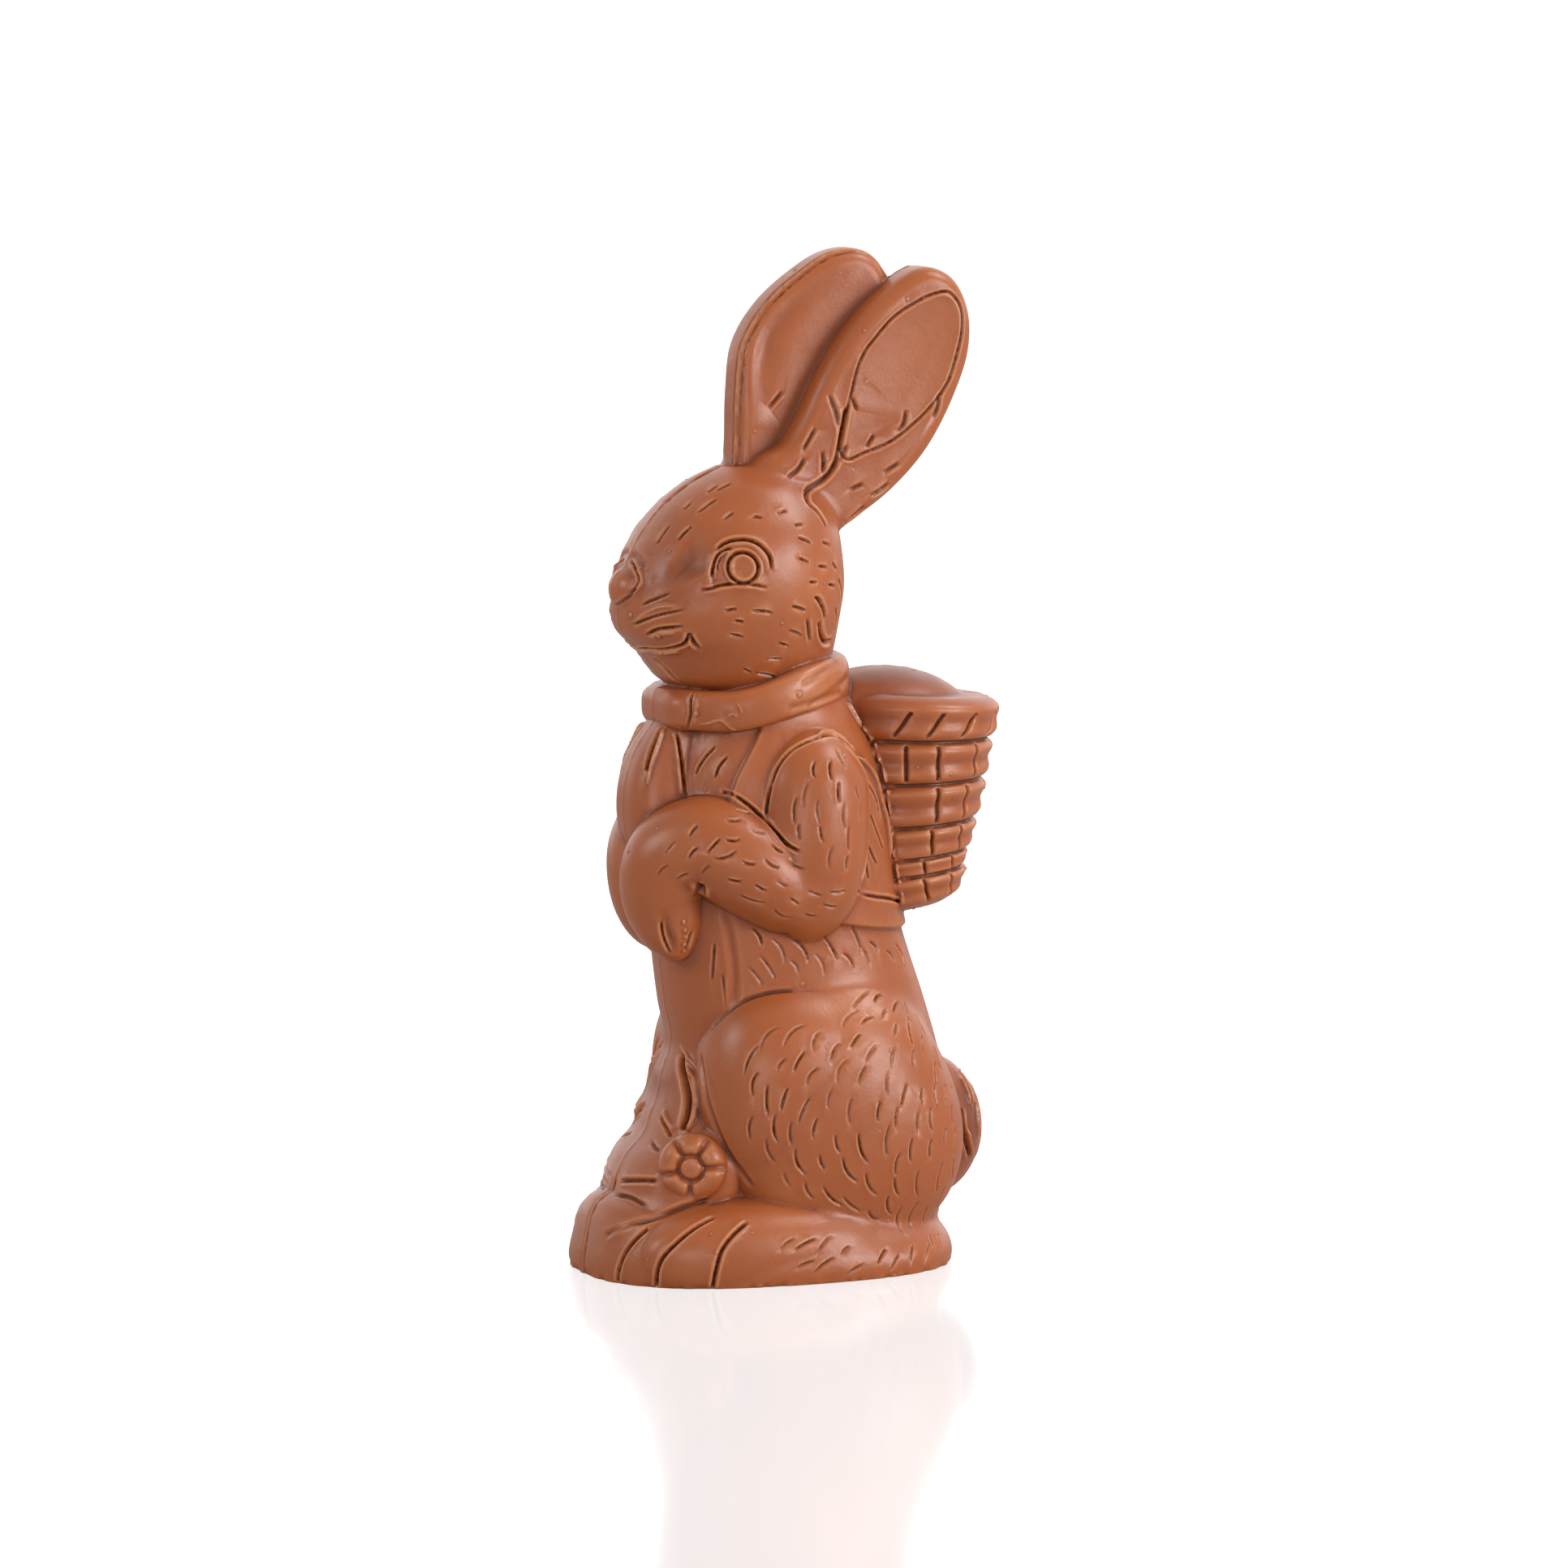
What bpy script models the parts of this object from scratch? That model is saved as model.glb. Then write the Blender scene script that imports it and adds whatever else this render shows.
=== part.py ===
"""A rabbit of moulded milk chocolate with a basket on its back, one solid, in metres.

It faces -Y and stands on z = 0. The two halves of the mould met in the plane x = 0.
The lengths below are in millimetres and are turned into metres at the end.
"""
import math

import bmesh
import bpy
import numpy as np
from mathutils import Matrix

NAME = "chocolate_bunny"
SKIN_CELL = 0.55
MOST_TRIANGLES = 11400
METRES = 0.001


# How a form is made.


def curve(knots, values, where):
    """Rows of values joined by a smooth curve, read at the given places."""
    knots = np.asarray(knots, float)
    values = np.asarray(values, float).reshape(len(knots), -1)
    slope = np.gradient(values, knots, axis=0)
    i = np.clip(np.searchsorted(knots, where, side="right") - 1, 0, len(knots) - 2)
    step = (knots[i + 1] - knots[i])[:, None]
    t = np.clip((where - knots[i])[:, None] / step, 0, 1)
    ends = (2 * t**3 - 3 * t**2 + 1) * values[i] + (3 * t**2 - 2 * t**3) * values[i + 1]
    return ends + step * ((t**3 - 2 * t**2 + t) * slope[i] + (t**3 - t**2) * slope[i + 1])


def ball(round_it=64, down_it=48):
    """A ball of radius 1, with its points and how far down each lies, from 0 to 1."""
    form = bmesh.new()
    bmesh.ops.create_uvsphere(form, u_segments=round_it, v_segments=down_it, radius=1.0)
    points = np.array([v.co for v in form.verts])
    down = np.round(np.arccos(np.clip(points[:, 2], -1, 1)) / math.pi * down_it) / down_it
    return form, points, down


def place(form, points):
    for vert, point in zip(form.verts, points):
        vert.co = point
    return form


def turned(form, degrees, axis):
    turn = Matrix.Rotation(math.radians(degrees), 3, axis)
    bmesh.ops.rotate(form, verts=form.verts, cent=(0, 0, 0), matrix=turn)
    return form


def lump(centre, radii, tilt=0.0, power=2.0, turn=0.0):
    """A rounded lump, squarer the higher its power, tilted about X and then turned about Z."""
    form, points, _ = ball()
    size = (np.abs(points) ** power).sum(1, keepdims=True) ** (1 / power)
    place(form, points / size * np.array(radii))
    turned(form, tilt, "X")
    turned(form, turn, "Z")
    bmesh.ops.translate(form, verts=form.verts, vec=centre)
    return form


def stack(levels, power=2.3, round_it=96, down_it=96):
    """A form of level slices, from rows of height, front, back and half width."""
    levels = np.asarray(levels, float)
    form, points, down = ball(round_it, down_it)
    pole = (down == 0) | (down == 1)
    share = 1 - np.clip((down * down_it - 1) / (down_it - 2), 0, 1)
    height = levels[0, 0] + share * (levels[-1, 0] - levels[0, 0])
    front, back, half = curve(levels[:, 0], levels[:, 1:], height).T
    angle = np.arctan2(points[:, 1], points[:, 0])
    c = np.cos(angle)
    s = np.sin(angle)
    reach = np.where(pole, 0, (np.abs(c) ** power + np.abs(s) ** power) ** (-1 / power))
    y = (front + back) / 2 + (back - front) / 2 * reach * s
    return place(form, np.stack([half * reach * c, y, height], 1))


def limb(path, radii, flat=1.0):
    """A limb along a smooth path, its ends round, flat times as thick sideways."""
    path = np.asarray(path, float)
    knots = np.concatenate([[0], np.cumsum(np.linalg.norm(np.diff(path, axis=0), axis=1))])
    length = knots[-1]
    form, points, down = ball()
    along = length * down
    ahead = curve(knots, path, np.clip(along + 0.05, 0, length))
    ahead -= curve(knots, path, np.clip(along - 0.05, 0, length))
    ahead /= np.linalg.norm(ahead, axis=1, keepdims=True)
    radius = curve(knots, radii, along)[:, 0]
    to_end = np.clip(np.minimum(along, length - along) / radius, 0, 1)
    radius = radius * np.sqrt(1 - (1 - to_end) ** 2)
    up = np.cross(ahead, [1.0, 0, 0])
    up /= np.linalg.norm(up, axis=1, keepdims=True)
    out = np.cross(up, ahead)
    angle = np.arctan2(points[:, 1], points[:, 0])
    around = (radius * np.cos(angle))[:, None] * up
    around += (flat * radius * np.sin(angle))[:, None] * out
    return place(form, curve(knots, path, along) + around)


def loop(points, count):
    """A closed smooth line through the points."""
    points = np.asarray(points, float)
    joined = np.vstack([points[-2:], points, points[:3]])
    spans = np.sqrt(np.linalg.norm(np.diff(joined, axis=0), axis=1))
    knots = np.concatenate([[0], np.cumsum(spans)])
    return curve(knots, joined, np.linspace(knots[2], knots[-3], count, endpoint=False))


def slab(outline, inner, outer, rim):
    """A flat form drawn in the side view, from x = inner to x = outer, its rims rounded."""
    form = bmesh.new()
    face = form.faces.new([form.verts.new((inner, y, z)) for y, z in loop(outline, 96)])
    made = bmesh.ops.extrude_face_region(form, geom=[face])["geom"]
    far_side = [part for part in made if isinstance(part, bmesh.types.BMVert)]
    bmesh.ops.translate(form, verts=far_side, vec=(outer - inner, 0, 0))
    bmesh.ops.recalc_face_normals(form, faces=form.faces)
    rims = [e for e in form.edges if abs(e.verts[0].co.x - e.verts[1].co.x) < 1e-4]
    round_rim = dict(offset=rim, segments=6, profile=0.5, affect="EDGES", material=-1)
    bmesh.ops.bevel(form, geom=rims, **round_rim)
    bmesh.ops.triangulate(form, faces=form.faces)
    return form


def ring(centre_y, across, along, height, tube, half):
    """A band round the neck. height and half give its middle and half height, front 0 to back 1."""
    form = bmesh.new()
    bmesh.ops.create_circle(form, segments=24, radius=1.0)
    bmesh.ops.rotate(form, verts=form.verts, cent=(0, 0, 0), matrix=Matrix.Rotation(math.pi / 2, 3, "X"))
    bmesh.ops.translate(form, verts=form.verts, vec=(3, 0, 0))
    turns = dict(cent=(0, 0, 0), axis=(0, 0, 1), angle=math.tau, steps=96, use_merge=True)
    bmesh.ops.spin(form, geom=form.verts[:] + form.edges[:], **turns)
    points = np.array([v.co for v in form.verts])
    reach = np.hypot(points[:, 0], points[:, 1])
    side, back = points[:, 0] / reach, points[:, 1] / reach
    share = (1 + back) / 2
    out = tube * (reach - 3)
    x = (across + out) * side
    y = centre_y + (along + out) * back
    return place(form, np.stack([x, y, height(share) + half(share) * points[:, 2]], 1))


def mirrored(form):
    other = form.copy()
    bmesh.ops.scale(other, verts=other.verts, vec=(-1, 1, 1))
    return [form, other]


# Relief: patches drawn in the side view, and lines that follow the surface.


def inside(points, outline):
    """How far each (y, z) lies inside a smooth closed outline, negative outside it."""
    corners = loop(outline, 90)
    best = np.full(len(points), 1e9)
    crossings = np.zeros(len(points), int)
    for a, b in zip(corners, np.roll(corners, -1, axis=0)):
        span = b - a
        t = np.clip(((points - a) @ span) / (span @ span), 0, 1)
        best = np.minimum(best, np.hypot(*(points - a - t[:, None] * span).T))
        if a[1] != b[1]:
            level = (points[:, 1] >= min(a[1], b[1])) & (points[:, 1] < max(a[1], b[1]))
            crossings += level & (points[:, 0] < a[0] + (points[:, 1] - a[1]) / (b[1] - a[1]) * span[0])
    return np.where(crossings % 2 == 1, best, -best)


def eased(t):
    t = np.clip(t, 0, 1)
    return t * t * (3 - 2 * t)


def surface(form):
    form.normal_update()
    return np.array([v.co for v in form.verts]), np.array([v.normal for v in form.verts])


def patch(points, outline, height, soft=0.7):
    """How far a patch with a crisp edge lifts each point: its height inside the outline."""
    side = points[:, 1:]
    low = np.min(outline, axis=0) - 3
    high = np.max(outline, axis=0) + 3
    near = ((side > low) & (side < high)).all(1)
    lift = np.zeros(len(points))
    lift[near] = height * eased(inside(side[near], outline) / soft + 0.5)
    return lift


def stroke(points, path, depth, width):
    """How far a line lifts each point near it. A line's ends run out over its last 1.3 mm, those of
    a hollow over 2 mm wide over their whole length."""
    path = np.asarray(path, float)
    if len(path) > 2:
        path = curve(np.arange(len(path)), path, np.linspace(0, len(path) - 1, 5 * len(path) - 4))
    lift = np.zeros(len(points))
    low = path.min(0) - 2 * width
    high = path.max(0) + 2 * width
    near = np.flatnonzero(((points > low) & (points < high)).all(1))
    close = points[near]
    best = np.full(len(near), 1e9)
    along = np.zeros(len(near))
    for i in range(len(path) - 1):
        span = path[i + 1] - path[i]
        t = np.clip(((close - path[i]) @ span) / (span @ span), 0, 1)
        away = np.linalg.norm(close - path[i] - t[:, None] * span, axis=1)
        along = np.where(away < best, (i + t) / (len(path) - 1), along)
        best = np.minimum(best, away)
    length = np.linalg.norm(np.diff(path, axis=0), axis=1).sum()
    ends = min(1.3 / length, 0.35) if width < 2 else 0.5
    fade = np.sqrt(eased(np.minimum(along, 1 - along) / ends))
    lift[near] = depth * fade * np.exp(-((best / (0.55 * width)) ** 2))
    return lift


def outlined(points, outline, depth, width):
    """How far the line round a patch lifts each point."""
    side = points[:, 1:]
    near = ((side > np.min(outline, axis=0) - 3) & (side < np.max(outline, axis=0) + 3)).all(1)
    lift = np.zeros(len(points))
    lift[near] = depth * np.exp(-((inside(side[near], outline) / (0.55 * width)) ** 2))
    return lift


# The forms.


def base():
    rows = [(-1.5, -30.0, 30.4, 22.6), (0, -30.4, 30.9, 23.2), (3, -30.4, 30.9, 23.4)]
    rows += [(6, -29.9, 29.2, 22.4), (8, -29.5, 27.2, 21.0), (10, -28.9, 25.6, 18.4)]
    rows += [(12, -27.4, 23.6, 14.6), (13.4, -25.0, 21, 8.0)]
    return stack(rows, power=2.5)


def feet():
    return mirrored(lump((12.2, -3.6, 4.0), (11.0, 22.6, 9.4), power=2.35))


# The vest's edge in the side view, (y, z).
VEST = [(-2.0, 93), (-6.0, 86), (-9.6, 79), (-11, 70), (-6, 62), (2, 58), (7.5, 56.6)]
VEST += [(15, 55.2), (24, 54.2), (34, 54), (36, 70), (34, 90), (20, 100), (6, 100)]


def torso():
    rows = [(4, -18, 29.5, 15), (13, -18, 31.0, 17), (19, -17.9, 31.6, 17.5), (25, -17.6, 31.2, 17.5)]
    rows += [(31, -17.2, 30.4, 17), (37, -15.4, 28.9, 16.2), (43, -16.4, 27.1, 15.6)]
    rows += [(49, -17.2, 25.0, 15.4), (55, -17.8, 23.1, 15.2)]
    rows += [(61, -18, 21.9, 15.4), (67, -17.6, 20.9, 15.8), (73, -17.2, 20.1, 16.2)]
    rows += [(79, -16.6, 19.0, 15.8)]
    rows += [(84, -15.6, 17.2, 14.8), (89, -14, 14.4, 13.2), (94, -12.5, 12.0, 12), (99, -11, 9, 10)]
    form = stack(rows, power=2.3, round_it=200, down_it=200)
    points, normals = surface(form)
    return place(form, points + patch(points, VEST, 0.9, 0.6)[:, None] * normals)


def haunches():
    made = mirrored(lump((6.9, 8.2, 24.4), (15.3, 21.6, 24.4), tilt=27, power=2.35))
    return made + mirrored(lump((8.4, -1.5, 36.4), (8.4, 11.6, 10.4), power=2.5))


def arms():
    """The left paw hangs a little in front of the right one."""
    upper = [(12.6, 4.4, 87.9), (13.8, 3.7, 81), (14.6, 3.5, 73), (14.6, 2.8, 63.5), (14.8, 1.6, 54)]
    left = [(14.2, 5.0, 58.5), (14.2, -2.0, 62.8), (13.0, -8.0, 67.0), (10.6, -13.4, 69.8)]
    left += [(7.6, -18.0, 67.4), (6.2, -18.9, 61.6), (6.6, -18.0, 56.4), (7.4, -16.6, 50.8)]
    right = [(-14.2, 5.0, 58.5), (-15.0, -2.0, 63), (-12.8, -8.5, 68.6), (-8.8, -13.4, 69.8)]
    right += [(-3.6, -17.3, 66.0), (-2.7, -17.5, 60.4), (-4.4, -15.2, 51.4)]
    made = mirrored(limb(upper, [6.0, 8.6, 9.0, 8.5, 5.8], flat=0.82))
    made.append(limb(left, [5.6, 7.3, 8.1, 7.8, 7.4, 6.9, 5.5, 2.8]))
    made.append(limb(right, [5.6, 7.4, 7.2, 7.0, 7.1, 6.6, 3.3]))
    return made


def head():
    rows = [(93, -12, 8, 9), (95, -16.5, 10.2, 10.8), (97, -18.3, 11.2, 12), (100, -20.6, 11.9, 13.6)]
    rows += [(103, -23.6, 12.4, 15), (106, -24.4, 12.9, 15.8), (109, -24.0, 13.3, 16.2)]
    rows += [(112, -23.4, 13.3, 16.3), (115, -22.4, 13.0, 16.0), (118, -20.8, 12.6, 15.2)]
    rows += [(121, -18.6, 11.8, 13.8), (124, -15.6, 10.0, 11.6), (127, -11.2, 7.2, 8.8), (129, -7, 4, 5)]
    return [stack(rows, power=2.12), lump((0, -20.6, 109.9), (4.8, 4.8, 3.9), power=2.2)]


# The ears' outlines in the side view, (y, z). The left ear leans further back.
LEFT_EAR = [(3, 117), (-3.4, 125.6), (-1.6, 130.0), (2.4, 132.6), (5.2, 136.8), (8.8, 143.8)]
LEFT_EAR += [(13.8, 151.2), (20.0, 157.0), (26.4, 160.3), (31.2, 158.6), (34.0, 153.6), (34.2, 147)]
LEFT_EAR += [(31.6, 139.4), (26.8, 131), (20.6, 124.6), (13.4, 119.6), (8, 116)]
RIGHT_EAR = [(-2, 121), (-4.2, 127), (-4.2, 134), (-4.0, 141), (-3.0, 148.4), (0.9, 154.6)]
RIGHT_EAR += [(6.8, 159.6), (12.4, 162.7), (17.4, 163.1), (20.8, 160.8), (22.6, 156.5), (21, 147)]
RIGHT_EAR += [(16.5, 138), (11, 129), (7, 121), (2, 118)]


def ears():
    return [slab(LEFT_EAR, -1.6, 6.9, 2.5), slab(RIGHT_EAR, -6.8, 1.6, 2.6)]


BASKET_Y = 25.9
RIM_HEIGHT = 89
LEAN = 0.07
# Each course of the weave: bottom, top, and its radius there.
COURSES = [(58.2, 62.5, 10.0, 10.9), (62.9, 65.4, 10.7, 11.0), (65.8, 70.5, 11.3, 12.0)]
COURSES += [(71.1, 77.4, 12.2, 12.9), (78.1, 84.3, 13.1, 13.5), (85.0, 91.2, 13.8, 14.0)]
# The notches of each course: bottom, top, their slant, and their places from the side back.
# The slant and the places are in degrees round the basket.
NOTCHES = [(58.2, 62.5, -10, (-24, 5, 34, 62, 90)), (62.9, 65.4, -4, (-30, 1, 31, 60, 90))]
NOTCHES += [(65.8, 70.5, -4, (-28, 4, 33, 62, 90)), (71.1, 77.4, -2, (-40, 4, 30, 61, 90))]
NOTCHES += [(78.1, 84.3, -2, (-22, 1, 34, 63, 90)), (85.4, 89.6, 11, (-26, -4, 21, 47, 72, 90))]


def basket():
    """Courses of weave one above the other, each notched, and the heap that fills the basket."""
    rows = [(57.2, 8.0)]
    for low, high, at_low, at_high in COURSES:
        swell = 0.15 if low < 84 else 0.45
        rows += [(low, at_low - 0.35), (low + 0.4, at_low + 0.1)]
        rows += [((low + high) / 2, (at_low + at_high) / 2 + swell)]
        rows += [(high - 0.4, at_high + 0.1), (high, at_high - 0.35)]
    rows += [(91.8, 12.4)]
    levels = []
    for z, radius in rows:
        middle = BASKET_Y - LEAN * (RIM_HEIGHT - z)
        levels.append((z, middle - radius, middle + radius, radius))
    form = stack(levels, power=2.05, round_it=192, down_it=160)
    points, normals = surface(form)
    height = points[:, 2]
    behind = points[:, 1] - BASKET_Y + LEAN * (RIM_HEIGHT - height)
    turn = np.degrees(np.arctan2(behind, np.abs(points[:, 0])))
    sink = np.zeros(len(points))
    for low, high, slant, notches in NOTCHES:
        part = (height - low) / (high - low)
        here = eased(8 * part) * eased(8 * (1 - part))
        for notch in notches:
            away = np.radians(turn - notch - slant * (part - 0.5)) * 12.5
            sink += here * np.exp(-((away / 0.45) ** 2))
    points = points - 0.85 * np.minimum(sink, 1)[:, None] * normals
    points[:, 2] += (0.47 - 0.0059 * points[:, 2]) * (points[:, 1] - 24)
    place(form, points)
    return [form, lump((0, 22.4, 88.8), (10.6, 13.8, 7.0), tilt=-6)]


def tail():
    return lump((0, 29.2, 20.6), (8.2, 9.0, 11.6), tilt=4)


def plant():
    rows = [(4, -28, -5, 15), (8, -27.8, -5, 15.5), (11, -26.6, -5, 15.3), (13, -25.6, -5, 15)]
    rows += [(16, -24.6, -6, 14.6), (19, -23, -7, 14), (22, -20.2, -8, 12.6), (25, -19.0, -9, 11.6)]
    rows += [(28, -17.8, -9, 10.4), (31, -17.0, -9, 9.4), (35, -15.4, -9, 8.4), (38, -13.4, -9, 7.0)]
    return [stack(rows, power=2.2)] + mirrored(lump((10.4, -12.4, 17.0), (5.2, 5.6, 9.0), tilt=-14))


def flower():
    """Five petals round a button, one flower on each side, facing half forward."""
    form, points, _ = ball(128, 96)
    y = 5.4 * points[:, 1]
    z = 5.4 * points[:, 2]
    away = np.hypot(y, z)
    angle = np.degrees(np.arctan2(z, y))
    sink = np.exp(-(((away - 2.0) / 0.45) ** 2))
    for split in (3, 60, 122, 195, 268):
        gap = np.abs((angle - split + 180) % 360 - 180)
        sink += (away > 2.0) * np.exp(-((np.radians(gap) * away / (0.2 + 0.1 * away)) ** 2))
    x = 2.2 * np.sign(points[:, 0]) * np.abs(points[:, 0]) ** 0.6
    x += 0.5 * np.sin(math.pi * np.clip((away - 2.0) / 3.4, 0, 1)) * (points[:, 0] > 0)
    x -= 0.8 * np.clip(sink, 0, 1) * (points[:, 0] > 0)
    place(form, np.stack([x, y, z], 1))
    left, right = mirrored(form)
    turned(left, -30, "Z")
    bmesh.ops.translate(left, verts=left.verts, vec=(13.3, -16.8, 18.5))
    turned(right, 20, "Z")
    bmesh.ops.translate(right, verts=right.verts, vec=(-14.8, -12.4, 17.4))
    return [left, right]


def band_height(share):
    return 90.9 + 3.8 * eased((share - 0.2) / 0.6)


def scarf():
    """The band, its knot under the chin, and the two ends that hang from it."""
    band = ring(-2.0, 13.2, 14.2, band_height, 2.3, lambda share: 3.2 + 0.8 * share**2)
    knot = lump((0, -12.8, 90.7), (8.9, 5.6, 3.6), power=3.4)
    rows = [(64, -19, -9, 6.2), (68, -22.2, -9, 6.8), (72, -23.3, -9, 7.0), (76, -23.5, -9, 7.0)]
    rows += [(80, -22.9, -9, 6.8), (84, -21.4, -9, 6.4), (87, -19.4, -9, 6.0), (90, -17, -9, 5)]
    return [band, knot, stack(rows, power=3.0)]


# Patches in the side view, (y, z).
SOCKET = [(-13.6, 111.1), (-13.6, 113.3), (-13.4, 115.0), (-12.8, 116.0), (-11.9, 116.9), (-10.7, 117.2)]
SOCKET += [(-9.1, 117.3), (-7.9, 116.9), (-7.0, 116.0), (-6.4, 115.0), (-6.2, 113.8), (-6.6, 112.5)]
SOCKET += [(-7.5, 111.5), (-8.7, 111.4), (-10.8, 111.4), (-12.2, 111.3)]
PUPIL = [(-9.1 + 1.9 * math.cos(a), 114.3 + 1.9 * math.sin(a)) for a in np.arange(12) * math.tau / 12]
LEFT_PANEL = [(29.9, 156.3), (27.1, 156.0), (24.4, 154.9), (20.6, 152.7), (17.4, 149.5), (15.2, 146.8)]
LEFT_PANEL += [(13.8, 143.3), (13.2, 140.8), (12.5, 138.3), (11.7, 134.8), (11.2, 131.8), (12.3, 130.0)]
LEFT_PANEL += [(15.1, 130.9), (19.6, 132.5), (23.9, 135.4), (27.2, 138.4), (29.8, 141.9), (31.4, 146.4)]
LEFT_PANEL += [(32.3, 150.4), (32.0, 154.0)]
# Lines on both sides: a depth and a width, then the points |x|, y, z. A rise has a positive depth.
LINES = [
    # The brow, the line under the eye and the hollow in front of it.
    (-0.7, 1.0, [(13.8, -12.2, 117.5), (13.9, -10.6, 118.3), (14.4, -9.3, 118.5), (14.7, -7.4, 118.4),
                 (15.3, -5.8, 117.5), (15.8, -4.6, 115.8), (16.2, -4.2, 113.9)]),
    (-0.6, 0.9, [(13.6, -15.0, 110.8), (14.2, -12.2, 111.2), (15.3, -8.7, 111.5), (16.3, -5.4, 111.1)]),
    (-1.0, 6.5, [(10.5, -18.9, 117.2), (12.4, -17.0, 116.2), (13.2, -15.6, 113.0)]),
    # Round the nose, then the mouth and the fold at its corner.
    (-0.7, 1.0, [(1.0, -22.6, 114.5), (3.0, -22.2, 113.9), (4.7, -22.0, 112.6), (5.5, -22.2, 111.2),
                 (4.4, -23.0, 109.6)]),
    (-0.9, 1.1, [(-2.0, -20.6, 99.6), (4.8, -21.0, 100.9), (7.2, -19.2, 100.9), (9.9, -17.4, 101.8),
                 (11.7, -16.6, 103.2)]),
    (-0.7, 1.1, [(11.7, -16.9, 104.0), (11.8, -15.9, 102.4), (11.6, -14.9, 101.3)]),
    # The scarf's fold, the slit in its hanging ends and their edge.
    (-0.7, 1.0, [(8.8, -14.4, 94.2), (8.7, -14.9, 91.6), (7.8, -15.3, 87.4)]),
    (-1.2, 1.1, [(3.5, -18.2, 87.8), (4.2, -19.8, 84.7), (4.9, -21.3, 81.0)]),
    (-0.8, 1.0, [(5.8, -16.4, 88.0), (6.2, -15.9, 82.2), (7.4, -15.6, 77.0)]),
    # The vest's armhole and its hem.
    (-0.8, 1.1, [(16.3, -5.4, 74.7), (16.2, -4.8, 77.4), (15.8, -3.9, 80.0), (15.6, -2.4, 82.6),
                 (15.5, -0.4, 84.8), (15.5, 2.0, 86.2), (15.6, 4.8, 86.9), (15.8, 7.4, 86.2),
                 (15.8, 9.4, 84.6), (16.0, 11.4, 81.7), (16.7, 12.2, 78.1), (17.5, 12.2, 71.7)]),
    (-0.7, 1.0, [(19.7, 8.6, 61.8), (16.3, 11.4, 60.9), (13.3, 14.6, 60.0), (9.8, 19.8, 59.0),
                 (5, 22.6, 58.4), (-3, 22.8, 58.2)]),
    # The crook of the arm, the pit at the wrist and the fingers.
    (-0.8, 1.1, [(13.4, -10.6, 78.2), (14.9, -8.6, 77.0), (16.6, -5.8, 74.0), (18.4, -3.6, 71.4),
                 (19.8, -1.3, 69.2)]),
    (-1.3, 1.8, [(14.6, -14.8, 64.8), (13.6, -14.6, 64.0), (12.8, -14.4, 62.8)]),
    (-1.4, 1.2, [(11.9, -21.2, 59.6), (10.4, -19.8, 56.2), (9.2, -18.8, 54.0), (8.7, -18.6, 52.4)]),
    # The belly's fold and the front edge of the thigh.
    (-0.5, 1.3, [(13.6, -12.0, 60.6), (12.4, -10.4, 57.3), (12.2, -9.6, 53.3), (12.4, -9.1, 48.6),
                 (12.5, -9.4, 43.9)]),
    (-0.6, 1.1, [(9.0, -13.2, 36.6), (11.9, -13.8, 30.3), (13.9, -12.7, 25.1), (15.3, -10.9, 20.2),
                 (16.6, -7.7, 14.8)]),
    # The long leaf's channel and the rise beside it, then the leaves below.
    (-1.2, 1.5, [(2.7, -15.4, 36.2), (6.6, -15.6, 33.9), (8.4, -15.8, 31.4), (8.6, -16.0, 28.6),
                 (9.2, -17.1, 24.9)]),
    (0.7, 1.2, [(4.8, -15.1, 36.0), (8.4, -15.0, 33.2), (10.5, -14.8, 30.1), (11.0, -15.6, 26.6),
                (11.2, -16.7, 24.2)]),
    (-0.8, 1.1, [(-0.4, -18.8, 26.4), (4.6, -18.9, 25.2), (9.8, -19.2, 23.4)]),
    (-0.6, 1.1, [(-1.5, -20.1, 22.4), (5.6, -20.2, 21.2)]),
    (-0.7, 1.1, [(-0.5, -25.1, 14.6), (5.8, -23.8, 15.6), (10.9, -21.8, 16.2)]),
    # The foot's inner edge and its toes.
    (-0.6, 1.3, [(6.3, -28.6, 7.0), (11.8, -24.5, 9.7), (13.8, -19.6, 11.7), (14.8, -14.6, 13.4)]),
    (-1.0, 1.2, [(13.6, -24.6, 9.3), (12.6, -26.0, 7.4), (11.4, -27.3, 5.0), (10.8, -28.2, 1.7),
                 (10.7, -28.6, -1.5)]),
    (-1.0, 1.2, [(18.9, -15.2, 11.6), (18.7, -18.6, 9.4), (18.0, -21.4, 6.8), (17.0, -23.5, 4.0),
                 (16.4, -24.2, 0.1), (16.3, -24.2, -1.5)]),
    (-1.0, 1.2, [(20.8, -10.2, 10.6), (21.2, -13.0, 8.4), (21.3, -15.0, 6.0), (21.1, -16.0, 3.0),
                 (20.9, -16.4, 0), (20.9, -16.4, -1.5)]),
    # The tail's locks.
    (-0.9, 1.1, [(1.3, 32.6, 31.5), (3.2, 34.2, 29.4), (5.0, 34.6, 26.4), (6.0, 34.6, 22.4),
                 (6.6, 33.9, 18.0)]),
    (-0.8, 1.1, [(1.0, 35.4, 29.4), (2.6, 36.6, 26.4), (3.4, 37.4, 22.0), (3.0, 37.0, 16.0)]),
]
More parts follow.
